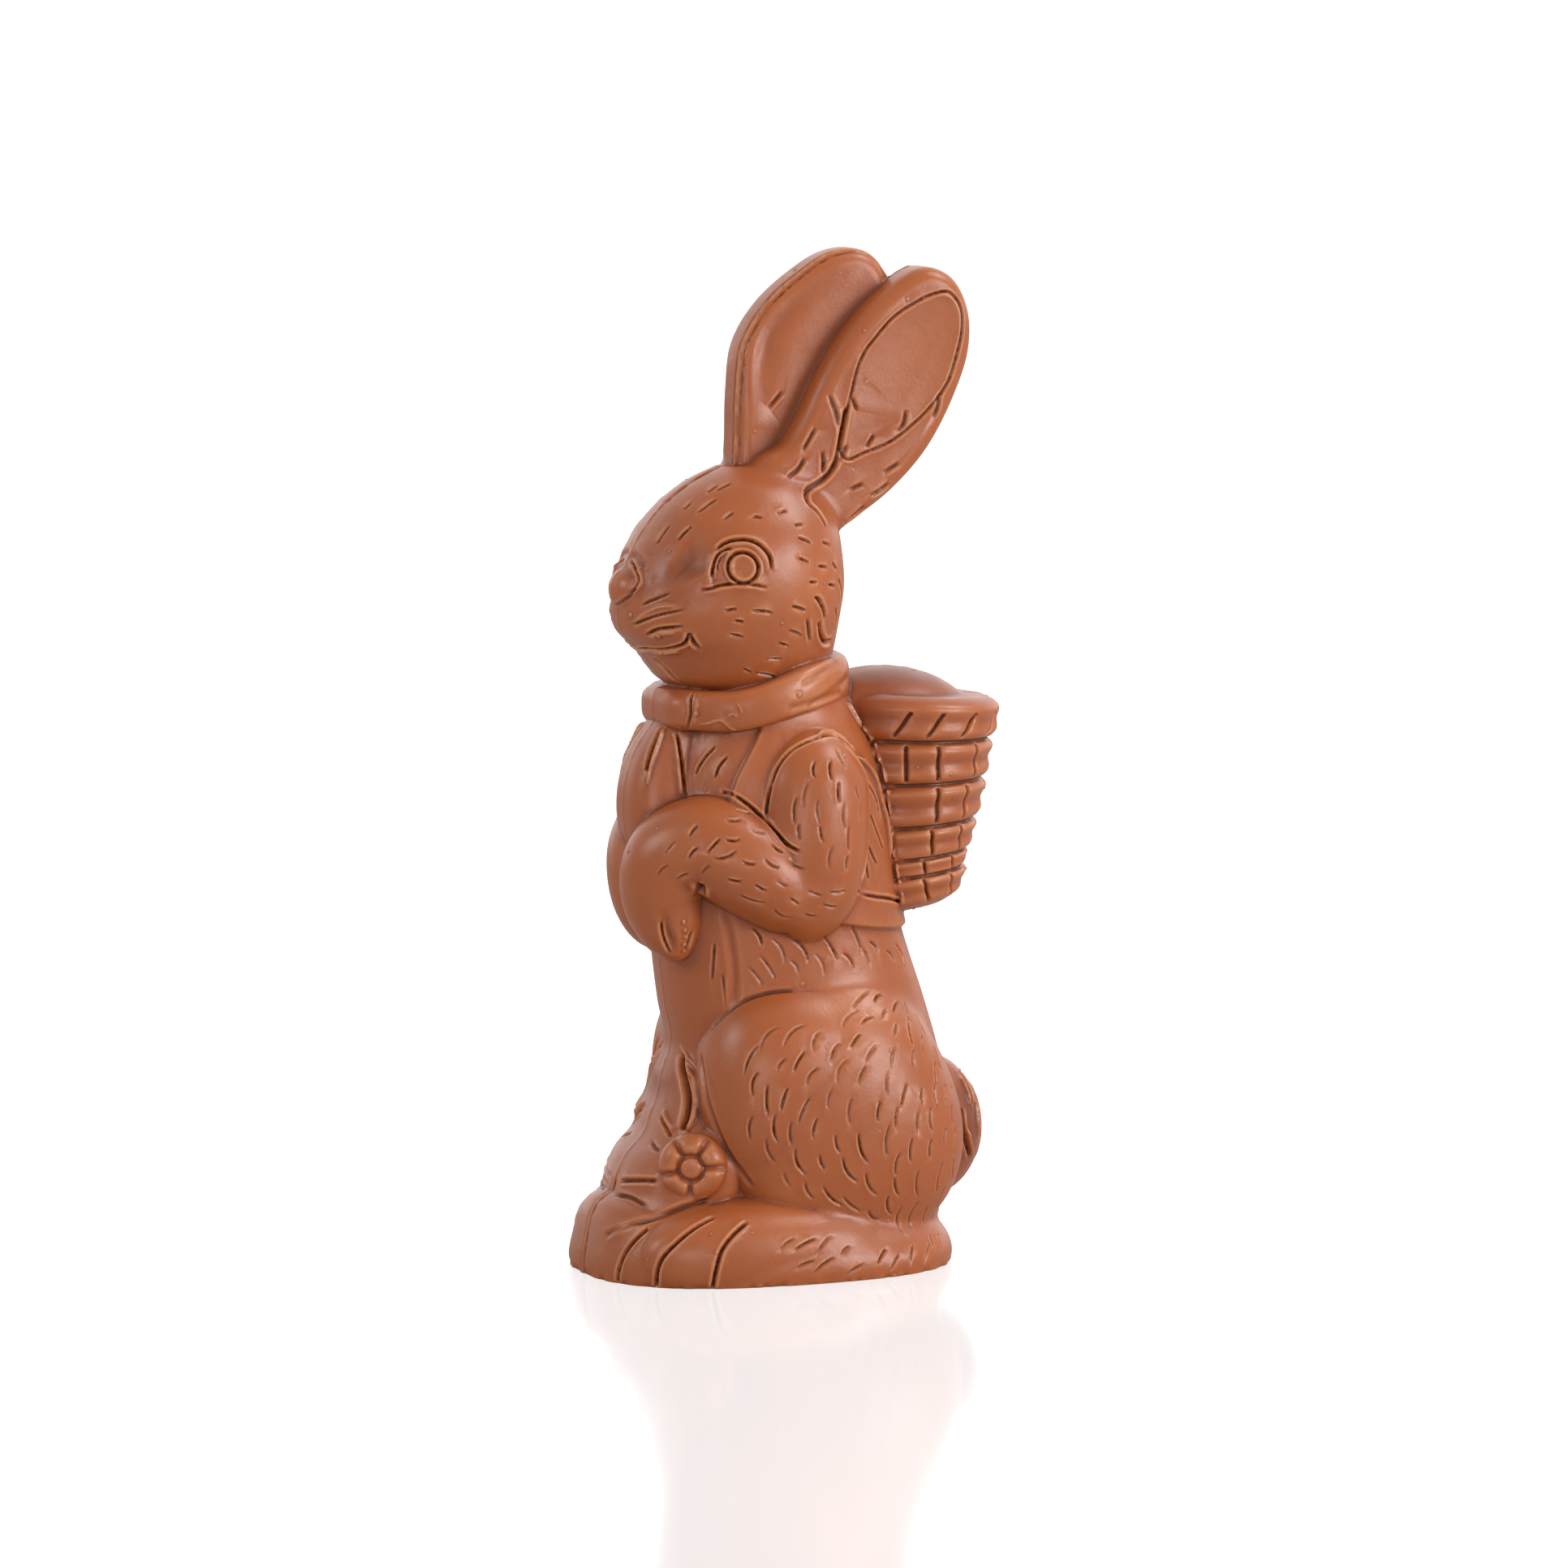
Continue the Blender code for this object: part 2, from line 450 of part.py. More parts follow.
# The fold of the left ear alone, which leans back behind the right one, and the soft channel inside
# the front rim of the right one.
EAR_FOLD = (-0.9, 1.2, [(6.9, 12.2, 138.6), (6.9, 11.4, 134.2), (6.9, 10.4, 129.6), (6.9, 8.2, 126.9),
                        (7.9, 4.6, 125.0), (9.0, 3.7, 122.8), (9.6, 5.2, 121.3), (10.0, 6.4, 119.0)])
EAR_CHANNEL = (-0.9, 4.2, [(1.6, 13.0, 160.6), (1.6, 7.7, 156.9), (1.6, 3.9, 153.4), (1.6, 1.4, 150.3),
                           (1.6, 0.3, 146.9), (1.6, -0.5, 143.3), (1.6, -0.6, 138.0)])
# Where a form flows into the next: |x|, y, z of its middle, and how far round it that reaches.
FLOWING = [
    # The root of each ear.
    (6.8, 2.5, 124.4, 7.5), (5.5, -2.0, 126.5, 5.5), (8.0, 7.5, 121.0, 5.0),
    # The thigh's top, and its back into the waist.
    (14.0, -8.0, 41.0, 4.5), (16.4, -2.0, 43.0, 4.5), (16.2, 8.0, 46.0, 6.0), (15.8, 13.0, 46.5, 6.5),
    (14.5, 18.5, 44.5, 7.0), (10.0, 25.0, 40.5, 7.0),
    # The elbow.
    (20.5, 3.5, 61.0, 5.5), (20.5, 1.0, 65.0, 4.5), (18.5, 2.5, 56.0, 4.5), (19.0, -2.5, 56.5, 3.5),
    # The thigh's foot, into the long foot below.
    (21.5, 4.0, 8.5, 4.5), (21.8, 10.0, 7.2, 5.0), (20.0, 16.0, 7.4, 5.0), (16.0, 21.5, 7.6, 5.0),
    (10.0, 25.5, 8.0, 5.0),
]
FLOW_REACH = 2.3


def flowed(made):
    """Draws the joints listed in FLOWING smooth."""
    spots = np.array([v.co for v in made.data.vertices])
    spots[:, 0] = np.abs(spots[:, 0])
    weight = np.zeros(len(spots))
    for *middle, reach in FLOWING:
        away = np.linalg.norm(spots - middle, axis=1)
        weight = np.maximum(weight, eased(1.4 * (1 - away / reach)))
    group = made.vertex_groups.new(name="flowing")
    for tenth in range(1, 11):
        chosen = np.flatnonzero(np.round(10 * weight) == tenth)
        group.add(chosen.tolist(), tenth / 10, "REPLACE")
    flow = made.modifiers.new("flow", "SMOOTH")
    flow.factor = 0.8
    flow.iterations = round(2.5 * (FLOW_REACH / SKIN_CELL) ** 2)
    flow.vertex_group = "flowing"
    settle(made)
    made.vertex_groups.clear()


def carved(points, normals):
    """The skin's points with the relief on them."""
    x = points[:, 0]
    folded = np.column_stack([np.abs(x), points[:, 1:]])
    on_head = folded[:, 0] > 9
    lift = patch(folded, SOCKET, -0.6, 0.5) * on_head
    lift += patch(folded, PUPIL, 0.8, 0.8) * on_head
    lift += outlined(points, LEFT_PANEL, -0.7, 1.0) * (x > 3.5)
    for depth, width, path in LINES:
        lift += stroke(folded, path, depth, width)
    for depth, width, path in (EAR_FOLD, EAR_CHANNEL):
        lift += stroke(points, path, depth, width)
    standing = eased(points[:, 2] / 0.6)
    return points + (lift * standing)[:, None] * normals


def fused(forms, cell):
    """One skin round all the forms, cut flat where it stands."""
    together = bmesh.new()
    for form in forms:
        bmesh.ops.recalc_face_normals(form, faces=form.faces)
        mesh = bpy.data.meshes.new("form")
        form.to_mesh(mesh)
        together.from_mesh(mesh)
        bpy.data.meshes.remove(mesh)
        form.free()
    mesh = bpy.data.meshes.new(NAME)
    together.to_mesh(mesh)
    together.free()
    made = bpy.data.objects.new(NAME, mesh)
    bpy.context.scene.collection.objects.link(made)
    skin = made.modifiers.new("skin", "REMESH")
    skin.mode = "VOXEL"
    skin.voxel_size = cell
    settle(made)
    flowed(made)
    body = bmesh.new()
    body.from_mesh(made.data)
    sides = body.verts[:] + body.edges[:] + body.faces[:]
    floor = dict(plane_co=(0, 0, 0), plane_no=(0, 0, -1), clear_outer=True)
    bmesh.ops.bisect_plane(body, geom=sides, dist=1e-4, **floor)
    rim = [e for e in body.edges if e.is_boundary]
    bmesh.ops.triangle_fill(body, edges=rim, use_beauty=True, use_dissolve=False)
    bmesh.ops.recalc_face_normals(body, faces=body.faces)
    body.to_mesh(made.data)
    body.free()
    return made


def settle(made):
    """Applies the modifiers."""
    evaluated = made.evaluated_get(bpy.context.evaluated_depsgraph_get())
    mesh = bpy.data.meshes.new_from_object(evaluated)
    made.modifiers.clear()
    old = made.data
    made.data = mesh
    bpy.data.meshes.remove(old)


def milk_chocolate():
    """Milk chocolate from a smooth mould: a warm brown with a soft gloss."""
    material = bpy.data.materials.new("milk_chocolate")
    material.use_nodes = True
    shader = material.node_tree.nodes["Principled BSDF"]
    shader.inputs["Base Color"].default_value = (0.30, 0.105, 0.045, 1)
    shader.inputs["Roughness"].default_value = 0.4
    shader.inputs["Metallic"].default_value = 0.0
    return material


for old in list(bpy.data.objects):
    bpy.data.objects.remove(old)
shapes = [base(), torso(), tail()]
shapes += plant() + feet() + haunches() + arms() + head() + ears() + basket() + flower() + scarf()
rabbit = fused(shapes, SKIN_CELL)
body = bmesh.new()
body.from_mesh(rabbit.data)
place(body, carved(*surface(body)) * METRES)
body.to_mesh(rabbit.data)
share = MOST_TRIANGLES / sum(len(f.verts) - 2 for f in body.faces)
body.free()
fewer = rabbit.modifiers.new("fewer", "DECIMATE")
fewer.ratio = share
settle(rabbit)
rabbit.data.materials.append(milk_chocolate())
rabbit.data.shade_smooth()
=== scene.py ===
"""The looks of a moulded milk chocolate rabbit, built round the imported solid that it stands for.

It faces -Y and stands on z = 0, and the mould's two halves met in the plane x = 0. The forms are
worked in millimetres and turned into metres when their one skin is finished.
"""
import math

import bmesh
import bpy
import numpy as np
from mathutils import Matrix, Vector
from mathutils.kdtree import KDTree


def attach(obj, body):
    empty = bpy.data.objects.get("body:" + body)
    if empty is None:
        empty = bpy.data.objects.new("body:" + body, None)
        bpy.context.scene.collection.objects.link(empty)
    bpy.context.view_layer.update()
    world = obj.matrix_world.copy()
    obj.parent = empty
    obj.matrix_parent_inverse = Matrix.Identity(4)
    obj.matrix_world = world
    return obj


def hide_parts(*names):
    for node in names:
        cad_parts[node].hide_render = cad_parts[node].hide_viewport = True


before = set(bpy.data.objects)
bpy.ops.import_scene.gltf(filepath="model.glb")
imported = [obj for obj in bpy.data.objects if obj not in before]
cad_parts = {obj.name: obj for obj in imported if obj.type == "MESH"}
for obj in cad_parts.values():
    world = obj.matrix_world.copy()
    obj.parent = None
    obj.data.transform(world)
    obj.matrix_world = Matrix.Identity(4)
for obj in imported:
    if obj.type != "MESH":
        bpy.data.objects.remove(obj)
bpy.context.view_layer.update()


# The mound and the feet.
# The figure stands on an oval mound cast in one with it, and a broad long foot lies along each
# side of it. Both are full rounded forms, cut flat below where the open mould was scraped level.


def smooth_rows(knots, values, where):
    """Rows of values joined by a smooth curve, read at the given places."""
    knots = np.asarray(knots, float)
    values = np.asarray(values, float).reshape(len(knots), -1)
    slope = np.gradient(values, knots, axis=0)
    i = np.clip(np.searchsorted(knots, where, side="right") - 1, 0, len(knots) - 2)
    step = (knots[i + 1] - knots[i])[:, None]
    t = np.clip((where - knots[i])[:, None] / step, 0, 1)
    ends = (2 * t**3 - 3 * t**2 + 1) * values[i] + (3 * t**2 - 2 * t**3) * values[i + 1]
    return ends + step * ((t**3 - 2 * t**2 + t) * slope[i] + (t**3 - t**2) * slope[i + 1])


def moved_to(form, points):
    for vert, point in zip(form.verts, points):
        vert.co = point
    return form


def wrapped(round_it, down_it):
    """A grid to be wrapped round a form, with each point's turn and how far down it lies."""
    form = bmesh.new()
    bmesh.ops.create_grid(form, x_segments=round_it, y_segments=down_it, size=1.0)
    flat = np.array([v.co for v in form.verts])
    return form, math.pi * (flat[:, 0] + 1), (1 - flat[:, 1]) / 2


def closed_up(form, points):
    """The wrapped grid at its points, its seam and its two ends drawn together."""
    moved_to(form, points)
    bmesh.ops.remove_doubles(form, verts=form.verts, dist=1e-4)
    bmesh.ops.recalc_face_normals(form, faces=form.faces)
    return form


def turned(form, degrees, axis):
    turn = Matrix.Rotation(math.radians(degrees), 3, axis)
    bmesh.ops.rotate(form, verts=form.verts, cent=(0, 0, 0), matrix=turn)
    return form


def lump(centre, radii, tilt=0.0, power=2.0, turn=0.0):
    """A rounded lump, squarer the higher its power, tilted about X and then turned about Z."""
    form, angle, down = wrapped(96, 72)
    level = np.cos(math.pi * down)
    reach = np.sin(math.pi * down)
    points = np.stack([reach * np.cos(angle), reach * np.sin(angle), level], 1)
    size = (np.abs(points) ** power).sum(1, keepdims=True) ** (1 / power)
    closed_up(form, points / size * np.array(radii))
    turned(form, tilt, "X")
    turned(form, turn, "Z")
    bmesh.ops.translate(form, verts=form.verts, vec=centre)
    return form


def stack(levels, power=2.3, round_it=128, down_it=128):
    """A form of level slices, from rows of height, front, back and half width."""
    levels = np.asarray(levels, float)
    form, angle, down = wrapped(round_it, down_it)
    step = 1 / (down_it - 1)
    share = 1 - np.clip((down - step) / (1 - 2 * step), 0, 1)
    height = levels[0, 0] + share * (levels[-1, 0] - levels[0, 0])
    front, back, half = smooth_rows(levels[:, 0], levels[:, 1:], height).T
    c = np.cos(angle)
    s = np.sin(angle)
    at_end = (down < step / 2) | (down > 1 - step / 2)
    reach = np.where(at_end, 0, (np.abs(c) ** power + np.abs(s) ** power) ** (-1 / power))
    y = (front + back) / 2 + (back - front) / 2 * reach * s
    return closed_up(form, np.stack([half * reach * c, y, height], 1))


def mirrored(form):
    other = form.copy()
    bmesh.ops.scale(other, verts=other.verts, vec=(-1, 1, 1))
    bmesh.ops.reverse_faces(other, faces=other.faces)
    return [form, other]


mound_rows = [(-1.5, -30.0, 30.4, 22.6), (0, -30.4, 30.9, 23.2), (3, -30.4, 30.9, 23.4)]
mound_rows += [(6, -29.9, 29.2, 22.4), (8, -29.5, 27.2, 21.0), (10, -28.9, 25.6, 18.4)]
mound_rows += [(12, -27.4, 23.6, 14.6), (13.4, -25.0, 21, 8.0)]
forms = [stack(mound_rows, power=2.5)]
forms += mirrored(lump((12.2, -3.6, 4.0), (11.0, 22.6, 9.4), power=2.35))


# The body in its vest, the haunches and the tail.
# The body sits up, and the vest is a thin raised layer over its back and sides, open in front.
# The thighs bulge at the sides, and a short tail stands out behind.


def loop(points, count):
    """A closed smooth line through the points."""
    points = np.asarray(points, float)
    joined = np.vstack([points[-2:], points, points[:3]])
    spans = np.sqrt(np.linalg.norm(np.diff(joined, axis=0), axis=1))
    knots = np.concatenate([[0], np.cumsum(spans)])
    return smooth_rows(knots, joined, np.linspace(knots[2], knots[-3], count, endpoint=False))


def inside(points, outline):
    """How far each (y, z) lies inside a smooth closed outline, negative outside it."""
    corners = loop(outline, 90)
    best = np.full(len(points), 1e9)
    crossings = np.zeros(len(points), int)
    for a, b in zip(corners, np.roll(corners, -1, axis=0)):
        span = b - a
        t = np.clip(((points - a) @ span) / (span @ span), 0, 1)
        best = np.minimum(best, np.hypot(*(points - a - t[:, None] * span).T))
        if a[1] != b[1]:
            level = (points[:, 1] >= min(a[1], b[1])) & (points[:, 1] < max(a[1], b[1]))
            edge = a[0] + (points[:, 1] - a[1]) / (b[1] - a[1]) * span[0]
            crossings += level & (points[:, 0] < edge)
    return np.where(crossings % 2 == 1, best, -best)


def eased(t):
    t = np.clip(t, 0, 1)
    return t * t * (3 - 2 * t)


def by_outline(points, outline, section):
    """How far each point is lifted by a section: a lift for each distance inside the outline."""
    side = points[:, 1:]
    near = ((side > np.min(outline, axis=0) - 3) & (side < np.max(outline, axis=0) + 3)).all(1)
    lift = np.zeros(len(points))
    lift[near] = section(inside(side[near], outline))
    return lift


def patch(points, outline, height, soft):
    """A patch of this height inside the outline, its edge soft over this width."""
    return by_outline(points, outline, lambda within: height * eased(within / soft + 0.5))


def skin_of(form):
    form.normal_update()
    return np.array([v.co for v in form.verts]), np.array([v.normal for v in form.verts])


vest_edge = [(-2.0, 93), (-6.0, 86), (-9.6, 79), (-11, 70), (-6, 62), (2, 58), (7.5, 56.6)]
vest_edge += [(15, 55.2), (24, 54.2), (34, 54), (36, 70), (34, 90), (20, 100), (6, 100)]
body_rows = [(4, -18, 29.5, 15), (13, -18, 31.0, 17), (19, -17.9, 31.6, 17.5), (25, -17.6, 31.2, 17.5)]
body_rows += [(31, -17.2, 30.4, 17), (37, -15.4, 28.9, 16.2), (43, -16.4, 27.1, 15.6)]
body_rows += [(49, -17.2, 25.0, 15.4), (55, -17.8, 23.1, 15.2), (61, -18, 21.9, 15.4)]
body_rows += [(67, -17.6, 20.9, 15.8), (73, -17.2, 20.1, 16.2), (79, -16.6, 19.0, 15.8)]
body_rows += [(84, -15.6, 17.2, 14.8), (89, -14, 14.4, 13.2), (94, -12.5, 12.0, 12), (99, -11, 9, 10)]
body = stack(body_rows, power=2.3, round_it=320, down_it=360)
points, normals = skin_of(body)
forms.append(moved_to(body, points + patch(points, vest_edge, 0.9, 0.5)[:, None] * normals))
forms += mirrored(lump((6.9, 8.2, 24.4), (15.3, 21.6, 24.4), tilt=27, power=2.35))
forms += mirrored(lump((6.9, 1.5, 29.5), (14.6, 15.8, 18.5), power=2.5))
forms.append(lump((0, 29.2, 20.6), (8.2, 9.0, 11.6), tilt=4))


# The arms.
# Each arm hangs from the vest's armhole, bends at the elbow and comes forward, and the two
# paws hang side by side under the ends of the scarf.


def limb(path, radii, flat=1.0):
    """A limb along a smooth path, its ends round, flat times as thick sideways."""
    path = np.asarray(path, float)
    knots = np.concatenate([[0], np.cumsum(np.linalg.norm(np.diff(path, axis=0), axis=1))])
    length = knots[-1]
    form, angle, down = wrapped(96, 96)
    along = length * (1 - np.cos(math.pi * down)) / 2
    ahead = smooth_rows(knots, path, np.clip(along + 0.05, 0, length))
    ahead -= smooth_rows(knots, path, np.clip(along - 0.05, 0, length))
    ahead /= np.linalg.norm(ahead, axis=1, keepdims=True)
    radius = smooth_rows(knots, radii, along)[:, 0]
    to_end = np.clip(np.minimum(along, length - along) / radius, 0, 1)
    radius = radius * np.sqrt(1 - (1 - to_end) ** 2)
    up = np.cross(ahead, [1.0, 0, 0])
    up /= np.linalg.norm(up, axis=1, keepdims=True)
    out = np.cross(up, ahead)
    around = (radius * np.cos(angle))[:, None] * up
    around += (flat * radius * np.sin(angle))[:, None] * out
    return closed_up(form, smooth_rows(knots, path, along) + around)


upper_arm = [(12.6, 4.4, 87.9), (13.8, 3.7, 81), (14.6, 3.5, 73), (14.6, 2.8, 63.5), (14.8, 1.6, 54.0)]
near_forearm = [(14.2, 5.0, 58.5), (14.2, -2.0, 62.8), (13.0, -8.0, 67.0), (10.6, -13.4, 69.8)]
near_forearm += [(7.6, -18.0, 67.4), (6.2, -18.9, 61.6), (6.6, -18.0, 56.4), (7.4, -16.6, 50.8)]
far_forearm = [(-14.2, 5.0, 58.5), (-15.0, -2.0, 63), (-12.8, -8.5, 68.6), (-8.8, -13.4, 69.8)]
far_forearm += [(-3.6, -17.3, 66.0), (-2.7, -17.5, 60.4), (-4.4, -15.2, 51.4)]
forms += mirrored(limb(upper_arm, [6.0, 8.6, 9.0, 8.5, 5.8], flat=0.82))
forms.append(limb(near_forearm, [5.6, 7.3, 8.1, 7.8, 7.4, 6.9, 5.5, 2.8]))
forms.append(limb(far_forearm, [5.6, 7.4, 7.2, 7.0, 7.1, 6.6, 3.3]))


# The head and the ears.
# The head is an egg with the muzzle drawn out in front and a button of a nose on it. The ears
# are thick slabs with rounded rims, the left one leaning further back than the right.


def slab(outline, inner, outer, rim):
    """A flat form drawn in the side view, from x = inner to x = outer, its rims rounded."""
    form = bmesh.new()
    face = form.faces.new([form.verts.new((inner, y, z)) for y, z in loop(outline, 128)])
    made = bmesh.ops.extrude_face_region(form, geom=[face])["geom"]
    far_side = [part for part in made if isinstance(part, bmesh.types.BMVert)]
    bmesh.ops.translate(form, verts=far_side, vec=(outer - inner, 0, 0))
    bmesh.ops.recalc_face_normals(form, faces=form.faces)
    rims = [e for e in form.edges if abs(e.verts[0].co.x - e.verts[1].co.x) < 1e-4]
    bmesh.ops.bevel(form, geom=rims, offset=rim, segments=10, profile=0.5, affect="EDGES", material=-1)
    bmesh.ops.triangulate(form, faces=form.faces)
    return form


head_rows = [(93, -12, 8, 9), (95, -16.5, 10.2, 10.8), (97, -18.3, 11.2, 12), (100, -20.6, 11.9, 13.6)]
head_rows += [(103, -23.6, 12.4, 15), (106, -24.4, 12.9, 15.8), (109, -24.0, 13.3, 16.2)]
head_rows += [(112, -23.4, 13.3, 16.3), (115, -22.4, 13.0, 16.0), (118, -20.8, 12.6, 15.2)]
head_rows += [(121, -18.6, 11.8, 13.8), (124, -15.6, 10.0, 11.6), (127, -11.2, 7.2, 8.8), (129, -7, 4, 5)]
forms += [stack(head_rows, power=2.12), lump((0, -20.6, 109.9), (4.8, 4.8, 3.9), power=2.2)]

left_ear = [(3, 117), (-3.4, 125.6), (-1.6, 130.0), (2.4, 132.6), (5.2, 136.8), (8.8, 143.8)]
left_ear += [(13.8, 151.2), (20.0, 157.0), (26.4, 160.3), (31.2, 158.6), (34.0, 153.6), (34.2, 147)]
left_ear += [(31.6, 139.4), (26.8, 131), (20.6, 124.6), (13.4, 119.6), (8, 116)]
right_ear = [(-2, 121), (-4.2, 127), (-4.2, 134), (-4.0, 141), (-3.0, 148.4), (0.9, 154.6)]
right_ear += [(6.8, 159.6), (12.4, 162.7), (17.4, 163.1), (20.8, 160.8), (22.6, 156.5), (21, 147)]
right_ear += [(16.5, 138), (11, 129), (7, 121), (2, 118)]
# The x of each ear's outer face, and of the right ear's inner one, which shows past the left ear.
left_face = 6.9
right_face = -6.8
right_inner = 1.6
forms += [slab(left_ear, -1.6, left_face, 2.5), slab(right_ear, right_face, right_inner, 2.6)]


# The basket.
# A round basket is worn on the back. Five courses of broad weave and a slanting rolled rim
# stand proud of each other, each notched where the weave goes under, and a heap fills it.

basket_y = 25.9
rim_height = 89
basket_lean = 0.07
# How far a course rises for each millimetre that it runs back from y = 24, less a little for each
# millimetre of its height: the foot climbs towards the back, and the rim dips slightly.
rise_from = 24
rise = 0.47
rise_loss = 0.0059
notch_radius = 12.5
notch_width = 0.35
notch_depth = 0.8
# Each course: bottom, top, and its radius there.
courses = [(58.2, 62.5, 10.0, 10.9), (62.9, 65.4, 10.7, 11.0), (65.8, 70.5, 11.3, 12.0)]
courses += [(71.1, 77.4, 12.2, 12.9), (78.1, 84.3, 13.1, 13.5), (85.0, 91.2, 13.8, 14.0)]
# The notches of each course: bottom, top, their slant, and their places from the side back.
# The slant and the places are in degrees round the basket.
notches = [(58.2, 62.5, -10, (-24, 5, 34, 62, 90)), (62.9, 65.4, -4, (-30, 1, 31, 60, 90))]
notches += [(65.8, 70.5, -4, (-28, 4, 33, 62, 90)), (71.1, 77.4, -2, (-40, 4, 30, 61, 90))]
notches += [(78.1, 84.3, -2, (-22, 1, 34, 63, 90)), (85.4, 89.6, 11, (-26, -4, 21, 47, 72, 90))]


def weave_rows():
    rows = [(57.2, 8.0)]
    for low, high, at_low, at_high in courses:
        swell = 0.08 if low < 84 else 0.4
        rows += [(low, at_low - 0.35), (low + 0.35, at_low + 0.1)]
        rows += [((low + high) / 2, (at_low + at_high) / 2 + swell)]
        rows += [(high - 0.35, at_high + 0.1), (high, at_high - 0.35)]
    rows += [(91.8, 12.4)]
    levels = []
    for z, radius in rows:
        middle = basket_y - basket_lean * (rim_height - z)
        levels.append((z, middle - radius, middle + radius, radius))
    return levels


def round_basket(x, y, height):
    """How far round the basket each place lies, in degrees, and how far from its middle."""
    behind = y - basket_y + basket_lean * (rim_height - height)
    return np.degrees(np.arctan2(behind, np.abs(x))), np.hypot(x, behind)


def notch_distance(height, turn):
    """How far each place lies from the nearest notch of its course."""
    nearest = np.full(len(height), 9.0)
    for low, high, slant, places in notches:
        part = (height - low) / (high - low)
        here = (part > 0.03) & (part < 0.97)
        for place in places:
            away = np.abs(np.radians(turn - place - slant * (part - 0.5))) * notch_radius
            nearest = np.where(here, np.minimum(nearest, away), nearest)
    return nearest


def notched(basket):
    """The basket with its notches cut, and its level courses set to their rise."""
    points, normals = skin_of(basket)
    x, y, height = points.T
    turn, _ = round_basket(x, y, height)
    sink = np.exp(-((notch_distance(height, turn) / notch_width) ** 2))
    points = points - notch_depth * sink[:, None] * normals
    points[:, 2] += (rise - rise_loss * points[:, 2]) * (points[:, 1] - rise_from)
    return moved_to(basket, points)


forms.append(notched(stack(weave_rows(), power=2.05, round_it=400, down_it=320)))
forms.append(lump((0, 22.4, 88.8), (10.6, 13.8, 7.0), tilt=-6))


# The scarf.
# A broad band lies round the neck, lower in front, with its knot under the chin and its two
# ends hanging down over the chest as one flat tail.


def ring(centre_y, across, along, height, tube, half):
    """A band round the neck. height and half give its middle and half height, front 0 to back 1."""
    form = bmesh.new()
    bmesh.ops.create_circle(form, segments=32, radius=1.0)
    for vert in form.verts:
        vert.co.x = math.copysign(abs(vert.co.x) ** 0.6, vert.co.x)
        vert.co.y = math.copysign(abs(vert.co.y) ** 0.8, vert.co.y)
    turned(form, 90, "X")
    bmesh.ops.translate(form, verts=form.verts, vec=(3, 0, 0))
    turns = dict(cent=(0, 0, 0), axis=(0, 0, 1), angle=math.tau, steps=128, use_merge=True)
    bmesh.ops.spin(form, geom=form.verts[:] + form.edges[:], **turns)
    points = np.array([v.co for v in form.verts])
    reach = np.hypot(points[:, 0], points[:, 1])
    side, back = points[:, 0] / reach, points[:, 1] / reach
    share = (1 + back) / 2
    out = tube * (reach - 3)
    x = (across + out) * side
    y = centre_y + (along + out) * back
    moved_to(form, np.stack([x, y, height(share) + half(share) * points[:, 2]], 1))
    bmesh.ops.recalc_face_normals(form, faces=form.faces)
    return form


def band_height(share):
    return 90.9 + 3.8 * eased((share - 0.2) / 0.6)


forms.append(ring(-2.0, 13.2, 14.2, band_height, 2.3, lambda share: 3.2 + 0.8 * share**2))
forms.append(lump((0, -12.8, 90.7), (8.9, 5.6, 3.6), power=3.4))
scarf_end_rows = [(64, -19, -9, 6.2), (68, -22.2, -9, 6.8), (72, -23.3, -9, 7.0), (76, -23.5, -9, 7.0)]
scarf_end_rows += [(80, -22.9, -9, 6.8), (84, -21.4, -9, 6.4), (87, -19.4, -9, 6.0), (90, -17, -9, 5)]
forms.append(stack(scarf_end_rows, power=3.0))


# The leaves and the flowers.
# In front of the body a clump of leaves stands on the mound, with a five-petalled flower on
# each side of it.

plant_rows = [(4, -28, -5, 15), (8, -27.8, -5, 15.5), (11, -26.6, -5, 15.3), (13, -25.6, -5, 15)]
plant_rows += [(16, -24.6, -6, 14.6), (19, -23, -7, 14), (22, -20.2, -8, 12.6), (25, -19.0, -9, 11.6)]
plant_rows += [(28, -17.8, -9, 10.4), (31, -17.0, -9, 9.4), (35, -15.4, -9, 8.4), (38, -13.4, -9, 7.0)]
forms.append(stack(plant_rows, power=2.2))
forms += mirrored(lump((10.4, -12.4, 17.0), (5.2, 5.6, 9.0), tilt=-14))

petal_reach = 5.4
petal_height = 2.2
button_reach = 2.0
gap_depth = 1.1
petal_gaps = (3, 60, 122, 195, 268)


def flower():
    """A round of petals, cut apart down to the button in their middle."""
    form, angle, down = wrapped(320, 200)
    across = np.cos(math.pi * down)
    reach = np.sin(math.pi * down)
    y = petal_reach * reach * np.cos(angle)
    z = petal_reach * reach * np.sin(angle)
    away = petal_reach * reach
    sink = 0.8 * np.exp(-(((away - button_reach) / 0.4) ** 2))
    for split in petal_gaps:
        gap = np.abs((np.degrees(angle) - split + 180) % 360 - 180)
        sink += (away > button_reach) * np.exp(-((np.radians(gap) * away / (0.16 + 0.1 * away)) ** 2))
    x = petal_height * np.sign(across) * np.abs(across) ** 0.6
    x += 0.5 * np.sin(math.pi * np.clip((away - button_reach) / (petal_reach - button_reach), 0, 1))
    x -= gap_depth * np.clip(sink, 0, 1) * (across > 0)
    return closed_up(form, np.stack([x, y, z], 1))


